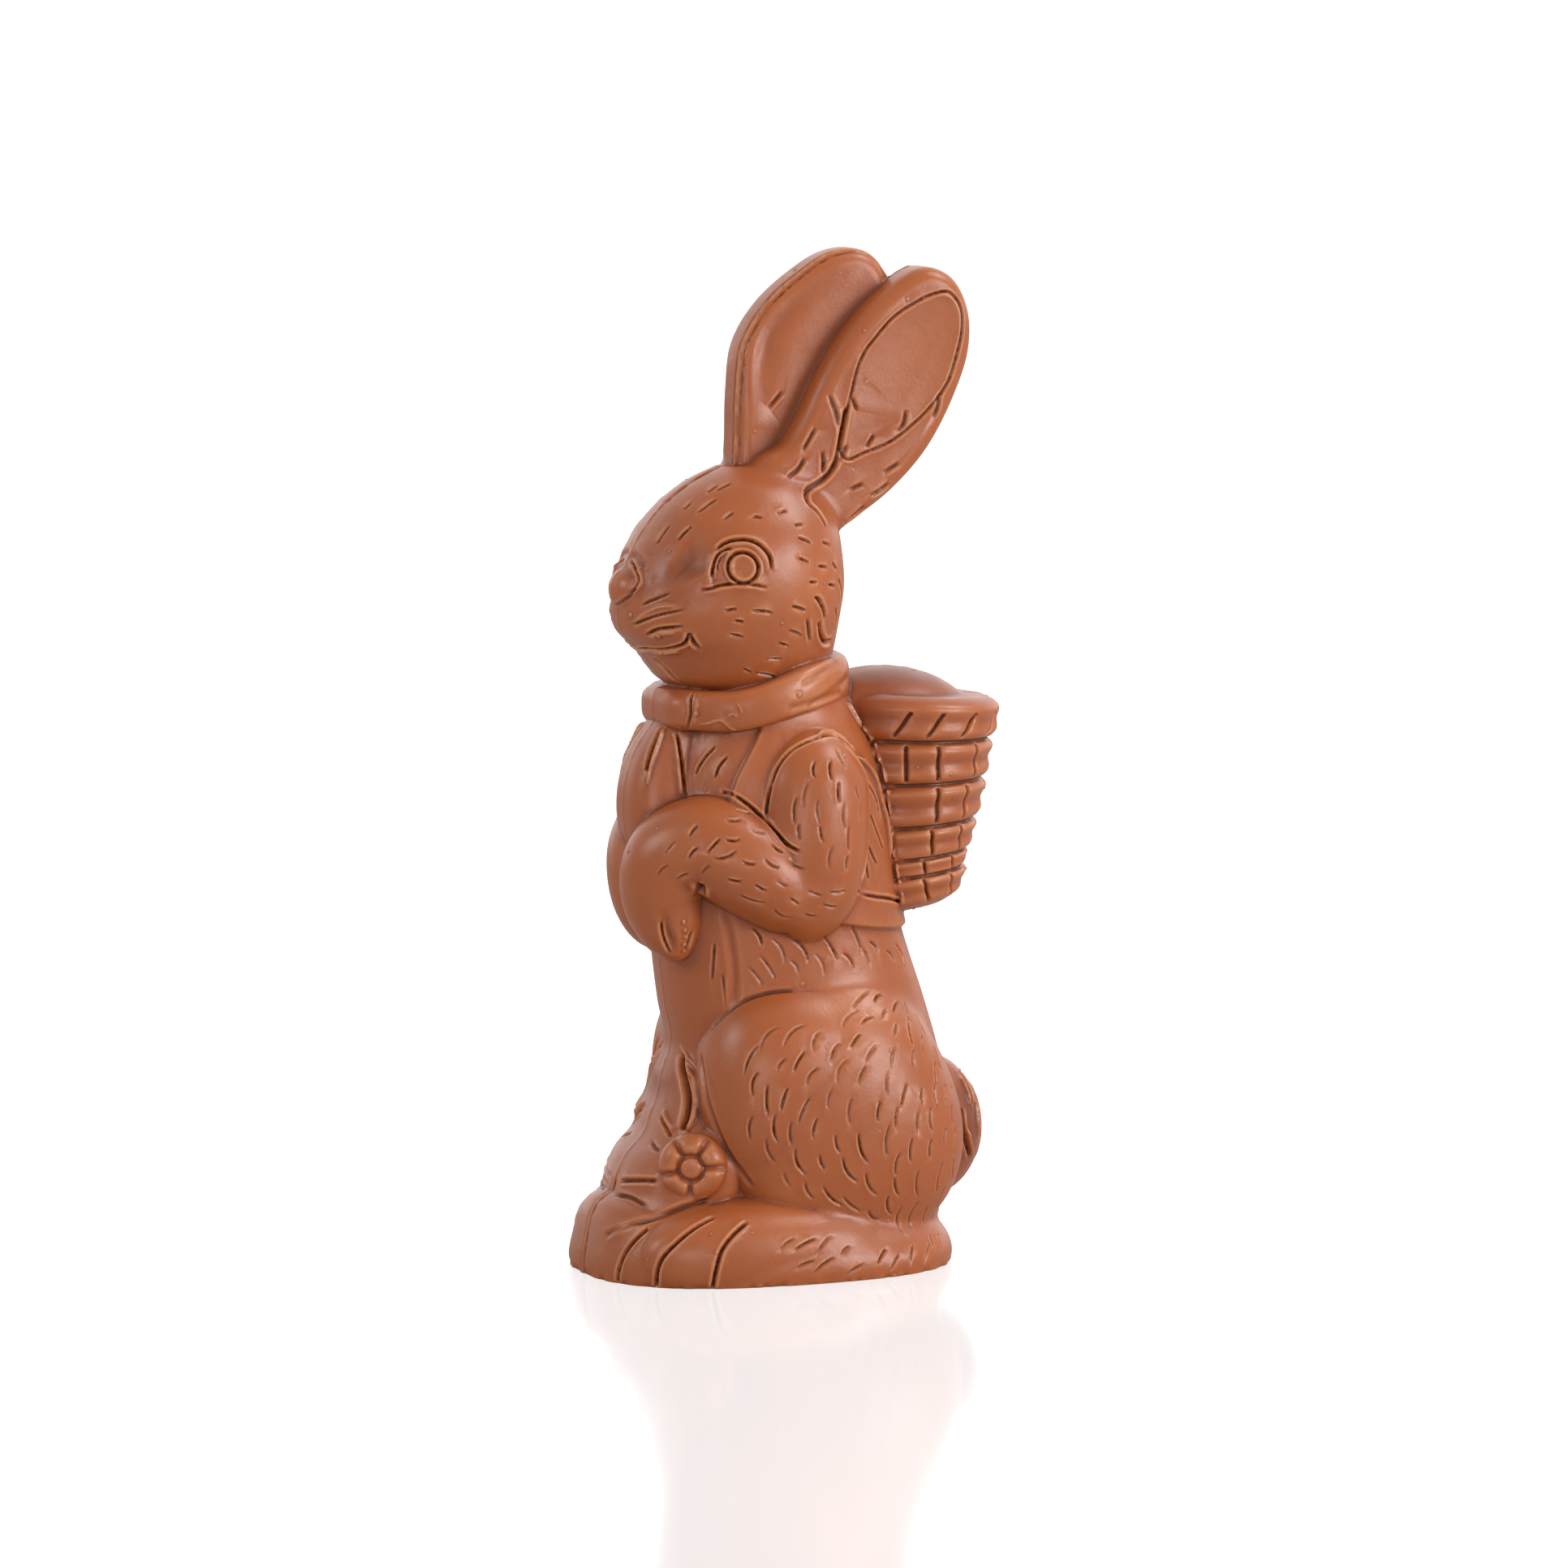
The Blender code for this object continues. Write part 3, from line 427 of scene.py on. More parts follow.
left_flower, right_flower = mirrored(flower())
turned(left_flower, -30, "Z")
bmesh.ops.translate(left_flower, verts=left_flower.verts, vec=(13.3, -16.8, 18.5))
turned(right_flower, 20, "Z")
bmesh.ops.translate(right_flower, verts=right_flower.verts, vec=(-14.8, -12.4, 17.4))
forms += [left_flower, right_flower]


# The skin.
# The real figure is one wall of chocolate with no joints, so all the forms get one skin. It is
# soft by a hair's breadth where forms meet, as liquid chocolate leaves the mould's sharp corners.

skin_cell = 0.21
soft_steps = 5
# Where a form flows into the next: |x|, y, z of its middle, and how far round it that reaches.
flowing = [
    # The root of each ear.
    (6.8, 2.5, 124.4, 7.5), (5.5, -2.0, 126.5, 5.5), (8.0, 7.5, 121.0, 5.0),
    # The thigh's top, and its back into the waist.
    (16.4, 8.0, 45.0, 6.0), (15.8, 13.0, 46.5, 6.5), (14.5, 18.5, 44.5, 7.0), (10.0, 25.0, 40.5, 7.0),
    # The elbow.
    (20.5, 3.5, 61.0, 5.5), (20.5, 1.0, 65.0, 4.5), (18.5, 2.5, 56.0, 4.5), (19.0, -2.5, 56.5, 3.5),
    # The thigh's foot, into the long foot below.
    (21.5, 4.0, 8.5, 4.5), (21.8, 10.0, 7.2, 5.0), (20.0, 16.0, 7.4, 5.0), (16.0, 21.5, 7.6, 5.0),
    (10.0, 25.5, 8.0, 5.0),
]
flow_reach = 2.3


def settled(made):
    """The object with its modifiers applied."""
    evaluated = made.evaluated_get(bpy.context.evaluated_depsgraph_get())
    mesh = bpy.data.meshes.new_from_object(evaluated)
    made.modifiers.clear()
    old = made.data
    made.data = mesh
    bpy.data.meshes.remove(old)
    return made


def numbers(data, name, width):
    found = np.empty(len(data) * width, np.float32)
    data.foreach_get(name, found)
    return found.reshape(-1, width).astype(float)


def one_skin(shapes):
    together = bmesh.new()
    for shape in shapes:
        mesh = bpy.data.meshes.new("form")
        shape.to_mesh(mesh)
        together.from_mesh(mesh)
        bpy.data.meshes.remove(mesh)
        shape.free()
    mesh = bpy.data.meshes.new("chocolate_rabbit")
    together.to_mesh(mesh)
    together.free()
    made = bpy.data.objects.new("chocolate_rabbit", mesh)
    bpy.context.scene.collection.objects.link(made)
    skin = made.modifiers.new("skin", "REMESH")
    skin.mode = "VOXEL"
    skin.voxel_size = skin_cell
    soft = made.modifiers.new("soft", "SMOOTH")
    soft.factor = 0.5
    soft.iterations = soft_steps
    return settled(made)


def flowed(made):
    """The skin with the joints listed in flowing drawn smooth."""
    spots = numbers(made.data.vertices, "co", 3)
    spots[:, 0] = np.abs(spots[:, 0])
    weight = np.zeros(len(spots))
    for *middle, reach in flowing:
        away = np.linalg.norm(spots - middle, axis=1)
        weight = np.maximum(weight, eased(1.4 * (1 - away / reach)))
    group = made.vertex_groups.new(name="flowing")
    for tenth in range(1, 11):
        chosen = np.flatnonzero(np.round(10 * weight) == tenth)
        group.add(chosen.tolist(), tenth / 10, "REPLACE")
    flow = made.modifiers.new("flow", "SMOOTH")
    flow.factor = 0.8
    flow.iterations = round(2.5 * (flow_reach / skin_cell) ** 2)
    flow.vertex_group = "flowing"
    settled(made)
    made.vertex_groups.clear()
    return made


rabbit = flowed(one_skin(forms))
mesh = rabbit.data
points = numbers(mesh.vertices, "co", 3)
normals = numbers(mesh.vertex_normals, "vector", 3)


# The engraved lines.
# The mould maker cut the face, the folds of the scarf and the vest, the fingers and the toes as
# lines and low patches. All but those of the ears are drawn on both sides of the figure.

# Shares of a line's width: how far its groove spreads, and where its lip lies and spreads.
groove_spread = 0.4
lip_away = 0.85
lip_spread = 0.4
# The lip's height as a share of the line's depth.
lip_share = 0.24
# A line as wide as this is a hollow with no lip. A narrower one runs out over this length.
widest_line = 2
run_out = 1.3


def cut(away, depth, width):
    """The section of a line: a groove with a low lip on both sides, or a rise or a wide hollow
    without one."""
    lift = depth * np.exp(-((away / (groove_spread * width)) ** 2))
    if depth < 0 and width < widest_line:
        from_lip = (away - lip_away * width) / (lip_spread * width)
        lift -= lip_share * depth * np.exp(-(from_lip**2))
    return lift


def along_line(points, path, depth, width):
    """How far a line lifts each point near it. A line's ends run out over its last millimetre or
    so, and a wide hollow's over half its length."""
    path = np.asarray(path, float)
    last = len(path) - 1
    if last > 1:
        path = smooth_rows(np.arange(last + 1), path, np.linspace(0, last, 5 * last + 1))
    lift = np.zeros(len(points))
    near = ((points > path.min(0) - 2 * width) & (points < path.max(0) + 2 * width)).all(1)
    near = np.flatnonzero(near)
    close = points[near]
    best = np.full(len(near), 1e9)
    along = np.zeros(len(near))
    for i in range(len(path) - 1):
        span = path[i + 1] - path[i]
        t = np.clip(((close - path[i]) @ span) / (span @ span), 0, 1)
        away = np.linalg.norm(close - path[i] - t[:, None] * span, axis=1)
        along = np.where(away < best, (i + t) / (len(path) - 1), along)
        best = np.minimum(best, away)
    length = np.linalg.norm(np.diff(path, axis=0), axis=1).sum()
    ends = min(run_out / length, 0.35) if width < widest_line else 0.5
    fade = np.sqrt(eased(np.minimum(along, 1 - along) / ends))
    lift[near] = fade * cut(best, depth, width)
    return lift


def outlined(points, outline, depth, width):
    """The line round a patch."""
    return by_outline(points, outline, lambda within: cut(np.abs(within), depth, width))


def on_skin(path):
    """The line's points drawn onto the skin."""
    found = []
    for x, y, z in path:
        spot, _, _ = places.find((x, y, z))
        found.append(tuple(spot))
    return found


places = KDTree(len(points))
for number, point in enumerate(points):
    places.insert(point, number)
places.balance()

# Many of the points in the outlines and lines below were picked off the photograph by eye and then
# turned into millimetres on the skin by a script apart from this one. They stand as it printed
# them, or moved by hand.
eye_white = [(-13.8, 111.3), (-13.9, 113.2), (-13.4, 114.8), (-12.5, 116.1), (-11.3, 116.7)]
eye_white += [(-11.5, 115.4), (-11.8, 114.2), (-11.5, 112.9), (-10.8, 111.8), (-12.4, 111.4)]
pupil_y = -9.0
pupil_z = 114.2
pupil_reach = 2.4
pupil_turns = np.arange(12) * math.tau / 12
pupil = [(pupil_y + pupil_reach * math.cos(a), pupil_z + pupil_reach * math.sin(a)) for a in pupil_turns]
left_panel = [(29.9, 156.3), (27.1, 156.0), (24.4, 154.9), (20.6, 152.7), (17.4, 149.5), (15.2, 146.8)]
left_panel += [(13.8, 143.3), (13.2, 140.8), (12.5, 138.3), (11.7, 134.8), (11.2, 131.8), (12.3, 130.0)]
left_panel += [(15.1, 130.9), (19.6, 132.5), (23.9, 135.4), (27.2, 138.4), (29.8, 141.9), (31.4, 146.4)]
left_panel += [(32.3, 150.4), (32.0, 154.0)]
right_panel = [(14.8, 159.6), (11.0, 158.4), (6.6, 155.6), (3.2, 152.0), (1.0, 147.6), (-0.2, 142.4)]
right_panel += [(-0.6, 137.0), (0.2, 132.4), (2.4, 131.2), (5.6, 133.4), (9.0, 137.0), (12.6, 141.4)]
right_panel += [(15.8, 146.4), (18.2, 151.6), (18.8, 156.0), (17.6, 158.8)]
# Each line: its depth and width, then its points |x|, y, z. A rise has a positive depth.
lines = [
    # The brow, the lid under it with its two creases in front, and the line under the eye.
    (-0.8, 0.65, [(13.5, -12.9, 116.8), (13.7, -11.5, 117.9), (13.9, -10.1, 118.4),
        (14.3, -8.8, 118.6), (14.7, -7.6, 118.5), (15.0, -6.4, 118.0), (15.3, -5.4, 117.0),
        (15.7, -4.6, 115.7), (16.1, -4.2, 113.7)]),
    (0.35, 0.8, [(14.2, -10.2, 117.7), (14.6, -8.8, 117.8), (15.0, -7.4, 117.6), (15.5, -6.0, 116.5),
        (16.0, -5.2, 114.8), (16.2, -5.2, 113.2)]),
    (-0.7, 0.6, [(14.3, -10.4, 117.1), (13.9, -11.6, 117.0), (13.8, -12.7, 116.1),
        (14.1, -13.6, 114.4), (14.3, -13.9, 112.6)]),
    (-0.35, 0.45, [(13.9, -11.9, 116.0), (14.0, -12.6, 115.0), (14.2, -12.9, 113.4)]),
    (-0.5, 0.55, [(13.6, -15.4, 110.7), (14.3, -13.8, 111.0), (14.6, -12.5, 111.3),
        (15.0, -10.9, 111.5), (15.4, -8.8, 111.5), (15.9, -7.0, 111.4), (16.3, -5.2, 111.0)]),
    # The hollow between the eye and the nose.
    (-1.0, 8.0, [(10.5, -18.9, 116.6), (12.4, -17.0, 115.2), (13.2, -15.6, 112.4)]),
    # The dip of the bridge over the nose.
    (-0.35, 1.6, [(0.6, -22.2, 115.6), (3.4, -21.8, 115.0), (6.0, -21.0, 113.6)]),
    # Round the nose, and the rise outside it.
    (-0.8, 0.6, [(1.3, -22.8, 114.6), (3.2, -22.3, 113.6), (4.8, -22.3, 112.4), (5.2, -22.8, 111.0),
        (4.1, -23.8, 109.4)]),
    (-0.3, 0.6, [(4.6, -23.4, 109.8), (2.2, -24.3, 108.2), (-0.6, -24.6, 107.4)]),
    (0.45, 0.8, [(4.2, -21.6, 113.5), (5.6, -21.6, 112.3), (6.1, -22.2, 111.1), (5.1, -23.0, 110.1)]),
    # The whiskers.
    (-0.4, 0.5, [(6.7, -23.0, 107.9), (7.7, -22.1, 108.5), (9.3, -20.8, 109.3), (11.0, -19.3, 110.1)]),
    (-0.45, 0.5, [(4.9, -23.6, 104.7), (7.1, -22.5, 105.5), (9.5, -20.9, 106.6), (12.5, -17.6, 107.6)]),
    (-0.6, 0.6, [(6.7, -22.0, 103.2), (8.7, -21.2, 104.1), (10.0, -20.0, 104.5), (12.2, -17.8, 104.9)]),
    (0.3, 0.7, [(5.6, -23.3, 105.6), (9.0, -21.2, 107.5), (11.7, -18.8, 108.3)]),
    (0.3, 0.7, [(7.4, -21.6, 102.8), (9.3, -20.2, 103.6), (11.2, -18.5, 103.8)]),
    # The mouth and the fold at its corner, then the chin.
    (-0.9, 0.65, [(-2.0, -20.9, 99.6), (3.6, -21.1, 100.5), (7.2, -19.2, 101.1), (9.5, -17.7, 101.8),
        (10.9, -16.9, 102.5), (12.4, -16.8, 103.9)]),
    (0.35, 0.8, [(4.4, -20.4, 99.7), (7.4, -18.6, 100.2), (9.7, -17.2, 100.9)]),
    (-0.9, 0.8, [(12.4, -16.8, 103.9), (11.9, -16.0, 102.4), (11.7, -14.8, 101.0)]),
    (-0.6, 0.8, [(3.4, -19.6, 98.9), (4.3, -18.4, 98.0), (4.6, -17.2, 96.7), (4.8, -15.9, 94.8)]),
    # The tuft behind the cheek.
    (-1.0, 0.9, [(12.8, 5.0, 105.0), (11.9, 5.8, 102.8), (10.6, 7.2, 101.3), (8.9, 8.8, 101.3)]),
    (-0.7, 0.7, [(14.1, 4.0, 109.2), (13.0, 5.6, 107.0), (12.3, 6.6, 105.0)]),
    (-0.6, 0.7, [(14.2, 2.5, 105.6), (13.6, 3.0, 103.6), (12.6, 3.6, 101.6)]),
    (-0.6, 0.7, [(10.4, 9.2, 111.4), (9.3, 10.4, 109.6), (8.8, 11.0, 107.4)]),
    (-0.6, 0.7, [(10.2, 9.0, 106.8), (9.4, 9.6, 104.8), (9.0, 9.8, 102.6)]),
    # The scarf's fold, the folds at its back, and its end tucked under.
    (-0.55, 0.5, [(8.4, -14.2, 94.4), (8.6, -14.8, 92.6), (8.7, -15.0, 90.4), (8.2, -15.6, 87.8)]),
    (0.3, 0.7, [(9.3, -13.6, 94.0), (9.5, -14.3, 91.6), (9.2, -14.6, 88.8)]),
    (-0.3, 1.6, [(15.2, -1.4, 91.5), (14.2, 3.9, 92.6), (12.2, 8.2, 93.9), (8.0, 12.6, 95.4)]),
    (-0.25, 1.4, [(15.1, 1.1, 95.2), (13.5, 5.4, 96.9), (10.0, 9.8, 98.6)]),
    (-0.3, 1.2, [(15.3, 2.4, 91.2), (13.6, 6.6, 92.6), (11.0, 10.4, 93.2)]),
    # Where a little chocolate ran over the scarf.
    (0.22, 0.45, [(9.6, -14.2, 89.0), (11.3, -12.9, 89.3), (12.3, -11.6, 89.9), (12.8, -10.0, 88.6),
        (12.9, -8.8, 88.2)]),
    (0.22, 0.4, [(12.6, -10.4, 90.2), (12.9, -9.6, 90.8), (13.2, -8.8, 90.2)]),
    (0.2, 0.4, [(12.8, -9.0, 92.6), (13.1, -8.4, 91.6), (13.3, -8.2, 90.6)]),
    # The slit in the scarf's hanging ends, the rise beside it, and their edge.
    (-1.2, 0.65, [(3.7, -18.0, 87.9), (4.3, -19.8, 84.7), (5.0, -21.3, 81.2)]),
    (0.6, 0.55, [(4.3, -17.7, 88.0), (4.8, -19.2, 84.6), (5.3, -20.7, 81.4), (5.6, -21.4, 79.0)]),
    (-0.9, 0.55, [(5.9, -16.4, 88.0), (6.3, -15.9, 82.2), (7.4, -15.6, 77.0)]),
    (0.5, 0.55, [(5.4, -16.9, 87.4), (5.8, -16.6, 82.2), (6.8, -16.2, 77.4)]),
    # Two long hairs on the chest.
    (-0.55, 0.5, [(8.3, -14.2, 80.6), (8.8, -13.8, 82.0), (9.6, -13.0, 83.8), (10.4, -11.6, 85.4)]),
    (-0.55, 0.5, [(11.2, -12.0, 80.2), (11.4, -11.4, 82.2), (12.2, -10.2, 84.0)]),
    # The armhole, the piping round it behind the arm, and the vest's edge along the basket.
    (-0.75, 0.6, [(16.4, -5.5, 74.7), (16.5, -4.9, 77.5), (16.6, -4.1, 80.1), (16.6, -2.8, 82.6),
        (16.6, -0.9, 84.6), (16.7, 1.2, 85.8), (16.4, 3.4, 86.4), (15.9, 5.8, 86.7), (15.6, 7.6, 86.2)]),
    (0.7, 0.6, [(16.1, 3.4, 87.1), (15.3, 5.8, 87.4), (15.0, 8.0, 86.9), (15.0, 10.2, 84.9),
        (13.4, 12.9, 82.2), (12.6, 14.8, 79.6), (12.4, 16.0, 76.0), (11.2, 17.4, 71.4),
        (10.6, 18.3, 66.0)]),
    (-0.7, 0.6, [(16.0, 7.6, 85.6), (16.4, 9.6, 83.4), (16.4, 11.4, 80.2), (16.4, 12.4, 76.0),
        (16.6, 12.5, 71.0), (17.5, 11.8, 67.4), (18.6, 10.2, 63.4)]),
    (0.7, 0.6, [(9.6, 11.9, 91.4), (9.4, 13.6, 88.6), (9.6, 15.6, 85.4), (10.3, 16.8, 82.2),
        (11.0, 17.5, 79.0), (10.9, 18.1, 74.0), (10.5, 18.7, 69.4), (10.0, 20.0, 63.4),
        (9.2, 21.2, 58.8)]),
    (-0.5, 0.5, [(14.2, 12.6, 79.6), (13.2, 14.6, 76.4), (12.7, 15.4, 72.4)]),
    (-0.5, 0.5, [(14.6, 13.4, 73.8), (13.2, 14.8, 70.4), (12.0, 16.3, 67.4)]),
    (-0.5, 0.5, [(15.9, 12.4, 70.4), (14.4, 13.7, 67.6), (13.2, 14.8, 65.2)]),
    (-0.5, 0.5, [(16.4, 12.0, 68.0), (15.4, 12.8, 65.6), (15.0, 13.2, 63.0)]),
    # The vest's hem.
    (-0.6, 0.6, [(18.8, 9.3, 62.2), (16.3, 11.4, 61.2), (13.5, 14.1, 60.4), (11.5, 17.6, 59.6),
        (9.8, 20.2, 58.8), (5, 22.6, 58.4), (-3, 22.8, 58.2)]),
    # The crook of the arm, the pit at the wrist, and the fingers.
    (-0.8, 0.6, [(12.4, -11.4, 78.2), (13.8, -10.1, 77.9), (14.6, -8.5, 76.9), (15.6, -6.7, 75.3),
        (16.9, -5.5, 73.6), (18.3, -4.3, 71.9), (19.3, -2.6, 70.3), (20.0, -1.0, 69.2)]),
    (-1.6, 1.5, [(14.8, -14.9, 65.2), (14.0, -14.6, 64.2), (13.2, -14.4, 63.2)]),
    (-0.7, 2.2, [(11.8, -21.2, 60.4), (11.1, -20.2, 57.0), (10.5, -19.2, 54.6), (9.6, -18.4, 52.2)]),
    (-0.55, 0.5, [(11.6, -21.4, 58.0), (11.0, -21.0, 56.2), (10.3, -20.3, 54.4), (9.2, -18.9, 52.6)]),
    (-0.5, 0.7, [(11.2, -16.1, 56.4), (10.6, -16.5, 54.3), (9.9, -16.8, 52.8)]),
    # The belly's fold.
    (-0.3, 1.4, [(13.6, -12.0, 60.6), (12.4, -10.4, 57.3), (12.2, -9.6, 53.3), (12.4, -9.1, 48.6),
        (12.5, -9.4, 43.9)]),
    (-0.35, 0.5, [(11.4, -12.2, 54.0), (10.9, -12.5, 47.6)]),
    (-0.35, 0.5, [(11.7, -11.0, 49.0), (11.9, -10.2, 42.2)]),
    # The thigh's top and its front edge.
    (-0.28, 0.7, [(10.4, -12.8, 40.0), (11.9, -11.4, 42.4), (13.4, -7.8, 44.7), (14.4, -3.8, 45.8),
        (15.0, 0.0, 46.1)]),
    (-0.3, 1.0, [(9.4, -13.6, 36.0), (12.0, -13.8, 30.3), (13.9, -12.7, 25.1), (15.3, -10.9, 20.2),
        (16.6, -7.7, 14.8)]),
    # The long leaf's channel and the rise beside it, then the edges of the leaves below.
    (-1.3, 1.2, [(5.1, -16.1, 35.8), (5.8, -15.9, 33.6), (7.1, -15.7, 31.7), (8.7, -15.5, 28.6),
        (9.6, -16.2, 25.6), (9.8, -17.0, 23.8)]),
    (0.8, 0.8, [(7.2, -15.4, 33.4), (9.4, -15.1, 31.4), (10.3, -14.8, 28.6), (10.8, -15.6, 25.8),
        (10.9, -16.8, 23.8)]),
    (0.3, 0.7, [(3.6, -15.2, 36.6), (6.6, -15.0, 35.0), (8.9, -14.3, 33.4)]),
    (0.6, 0.9, [(4.2, -18.5, 26.6), (6.0, -18.5, 25.4), (8.8, -18.5, 23.8)]),
    (-0.8, 0.7, [(4.2, -18.9, 25.4), (6.0, -18.9, 24.2), (8.6, -18.6, 22.6)]),
    (-0.5, 0.7, [(4.6, -20.5, 21.6), (6.4, -20.3, 20.6), (8.2, -19.8, 19.8)]),
    (-0.7, 0.8, [(2.4, -24.7, 14.9), (6.2, -23.8, 15.6), (10.9, -21.8, 16.2)]),
    (-0.5, 0.7, [(2.9, -25.7, 12.9), (6.8, -24.6, 12.9), (10.3, -23.5, 12.1)]),
    # The foot's inner edge and its toes, which run out under the base.
    (-0.6, 1.1, [(6.3, -28.6, 7.0), (11.8, -24.5, 9.7), (13.8, -19.6, 11.7), (14.8, -14.6, 13.4)]),
    (-0.3, 2.6, [(13.4, -24.2, 9.6), (12.2, -26.0, 7.4), (11.2, -27.2, 4.6), (10.6, -28.0, 1.7)]),
    (-0.3, 2.6, [(18.6, -16.4, 11.4), (18.2, -19.4, 8.6), (17.0, -22.6, 5.6), (16.0, -24.0, 1.7)]),
    (-0.8, 0.7, [(13.6, -24.6, 9.3), (12.6, -26.0, 7.4), (11.4, -27.3, 5.0), (10.8, -28.2, 1.7),
        (10.7, -28.6, -1.5)]),
    (-0.8, 0.7, [(18.9, -15.2, 11.6), (18.7, -18.6, 9.4), (18.0, -21.4, 6.8), (17.0, -23.5, 4.0),
        (16.4, -24.2, 0.1), (16.3, -24.2, -1.5)]),
    (-0.8, 0.7, [(20.8, -10.2, 10.6), (21.2, -13.0, 8.4), (21.3, -15.0, 6.0), (21.1, -16.0, 3.0),
        (20.9, -16.4, 0), (20.9, -16.4, -1.5)]),
    # The tail's locks.
    (0.5, 0.7, [(4.4, 33.4, 29.6), (5.4, 33.9, 26.8), (6.0, 34.3, 24.2)]),
    (-0.8, 0.7, [(3.4, 34.0, 30.0), (4.4, 34.6, 27.0), (5.2, 34.9, 24.2)]),
    (0.5, 0.7, [(4.4, 35.6, 24.8), (5.0, 35.9, 22.2), (5.4, 35.9, 19.6)]),
    (-0.8, 0.7, [(3.4, 36.2, 25.4), (4.0, 36.6, 22.0), (4.2, 36.5, 18.6)]),
    (-0.9, 0.8, [(7.6, 32.4, 24.4), (7.9, 32.5, 21.4), (7.4, 33.2, 18.6), (6.0, 34.3, 15.6)]),
    (0.5, 0.7, [(7.2, 33.2, 20.6), (6.6, 33.9, 18.2), (5.4, 34.9, 15.8)]),
    (-0.8, 0.8, [(1.2, 36.8, 28.0), (2.0, 37.6, 24.0), (2.2, 37.9, 19.6), (1.8, 37.2, 14.6)]),
]


def on_face(x, path):
    """The points of a line on the flat face of an ear, from its y and z."""
    return [(x, y, z) for y, z in path]


# The left ear's own lines: the fold down to its root, and the hairs round its edge and its foot.
left_ear_lines = [
    (-0.9, 0.9, [(6.9, 12.2, 138.6), (6.9, 11.4, 134.2), (6.9, 10.4, 129.6), (6.9, 8.2, 126.9),
        (7.9, 4.6, 125.0), (9.0, 3.7, 122.8), (9.6, 5.2, 121.3), (10.0, 6.4, 119.0)]),
    (-0.5, 0.7, on_face(left_face, [(28.2, 140.0), (28.0, 137.8), (27.2, 136.2)])),
    (-0.5, 0.7, on_face(left_face, [(22.6, 137.6), (22.2, 135.6), (21.2, 134.0)])),
    (-0.5, 0.7, on_face(left_face, [(17.2, 133.8), (15.6, 131.7)])),
    (-0.6, 0.8, on_face(left_face, [(12.3, 132.3), (11.1, 129.5)])),
    (-0.5, 0.7, on_face(left_face, [(13.1, 140.0), (14.1, 137.6)])),
    (-0.4, 0.7, on_face(left_face, [(9.1, 140.6), (10.3, 137.6), (11.0, 134.8)])),
    (-0.5, 0.7, on_face(left_face, [(7.1, 135.4), (5.8, 133.2), (4.8, 131.6)])),
    (-0.5, 0.7, on_face(left_face, [(8.0, 131.6), (8.3, 129.4), (8.1, 127.7)])),
    (-0.5, 0.7, [(6.9, 5.2, 130.5), (6.9, 3.8, 128.6), (7.2, 1.8, 127.3)]),
    (-0.4, 0.7, on_face(left_face, [(21.5, 129.3), (18.6, 127.5)])),
    (-0.4, 0.7, on_face(left_face, [(15.3, 126.2), (12.6, 125.1)])),
    (-0.5, 0.8, on_face(left_face, [(19.9, 126.1), (18.2, 124.9), (16.2, 123.9)])),
    (-0.6, 0.9, [(6.6, 15.8, 122.3), (6.4, 14.2, 121.0), (6.2, 12.1, 119.8)]),
]
# The right ear's: the hairs on its outer face, then the soft channel inside its front rim and the
# one hair there.
right_ear_lines = [
    (-0.5, 0.7, on_face(right_face, [(4.8, 136.4), (4.4, 134.6), (3.4, 133.0)])),
    (-0.5, 0.7, on_face(right_face, [(9.6, 141.0), (9.2, 139.0), (8.2, 137.2)])),
    (-0.5, 0.7, on_face(right_face, [(-1.4, 132.0), (-2.4, 130.4), (-2.8, 128.8)])),
    (-0.5, 0.7, on_face(right_face, [(1.6, 130.4), (2.0, 128.8), (1.8, 127.2)])),
    (-0.5, 0.7, on_face(right_face, [(6.0, 131.6), (5.2, 129.8)])),
    (-0.4, 0.7, on_face(right_face, [(10.8, 134.0), (9.0, 131.8)])),
    (-0.4, 0.7, on_face(right_face, [(9.4, 129.4), (7.8, 127.8)])),
    (-0.9, 5.6, on_face(right_inner, [(13.0, 160.6), (7.7, 156.9), (3.9, 153.4), (1.4, 150.3),
        (0.3, 146.9), (-0.5, 143.3), (-0.6, 138.0)])),
    (-0.5, 0.7, on_face(right_inner, [(3.4, 140.8), (2.2, 139.4), (1.0, 138.0)])),
]
# The thin rough ridge where the mould's two halves met. It stands highest on the ears and the
# mound, where a fine groove runs down each side of it, and keeps a lesser share of that elsewhere.
seam_height = 0.36
seam_spread = 0.27
seam_least = 0.4
seam_at_mound = 0.8
seam_samples = 400
ears_from = 116
mound_below = 17
beside_seam = 0.6
beside_spread = 0.22
beside_share = 0.9
# Tiny bubbles that burst at the surface, |x|, y, z: by the mouth, on the paw and on the scarf.
bubbles = [(8.9, -20.8, 103.0), (4.4, -23.6, 106.2), (6.6, -19.8, 99.8), (12.1, -17.8, 57.6)]
bubbles += [(11.5, -17.5, 56.4), (11.1, -17.3, 55.3), (10.5, -17.1, 54.0), (9.9, -16.9, 52.8)]
bubbles += [(10.2, -15.0, 90.6), (13.9, 0.6, 93.6)]
bubble_size = 0.3
fine_bubbles = 180

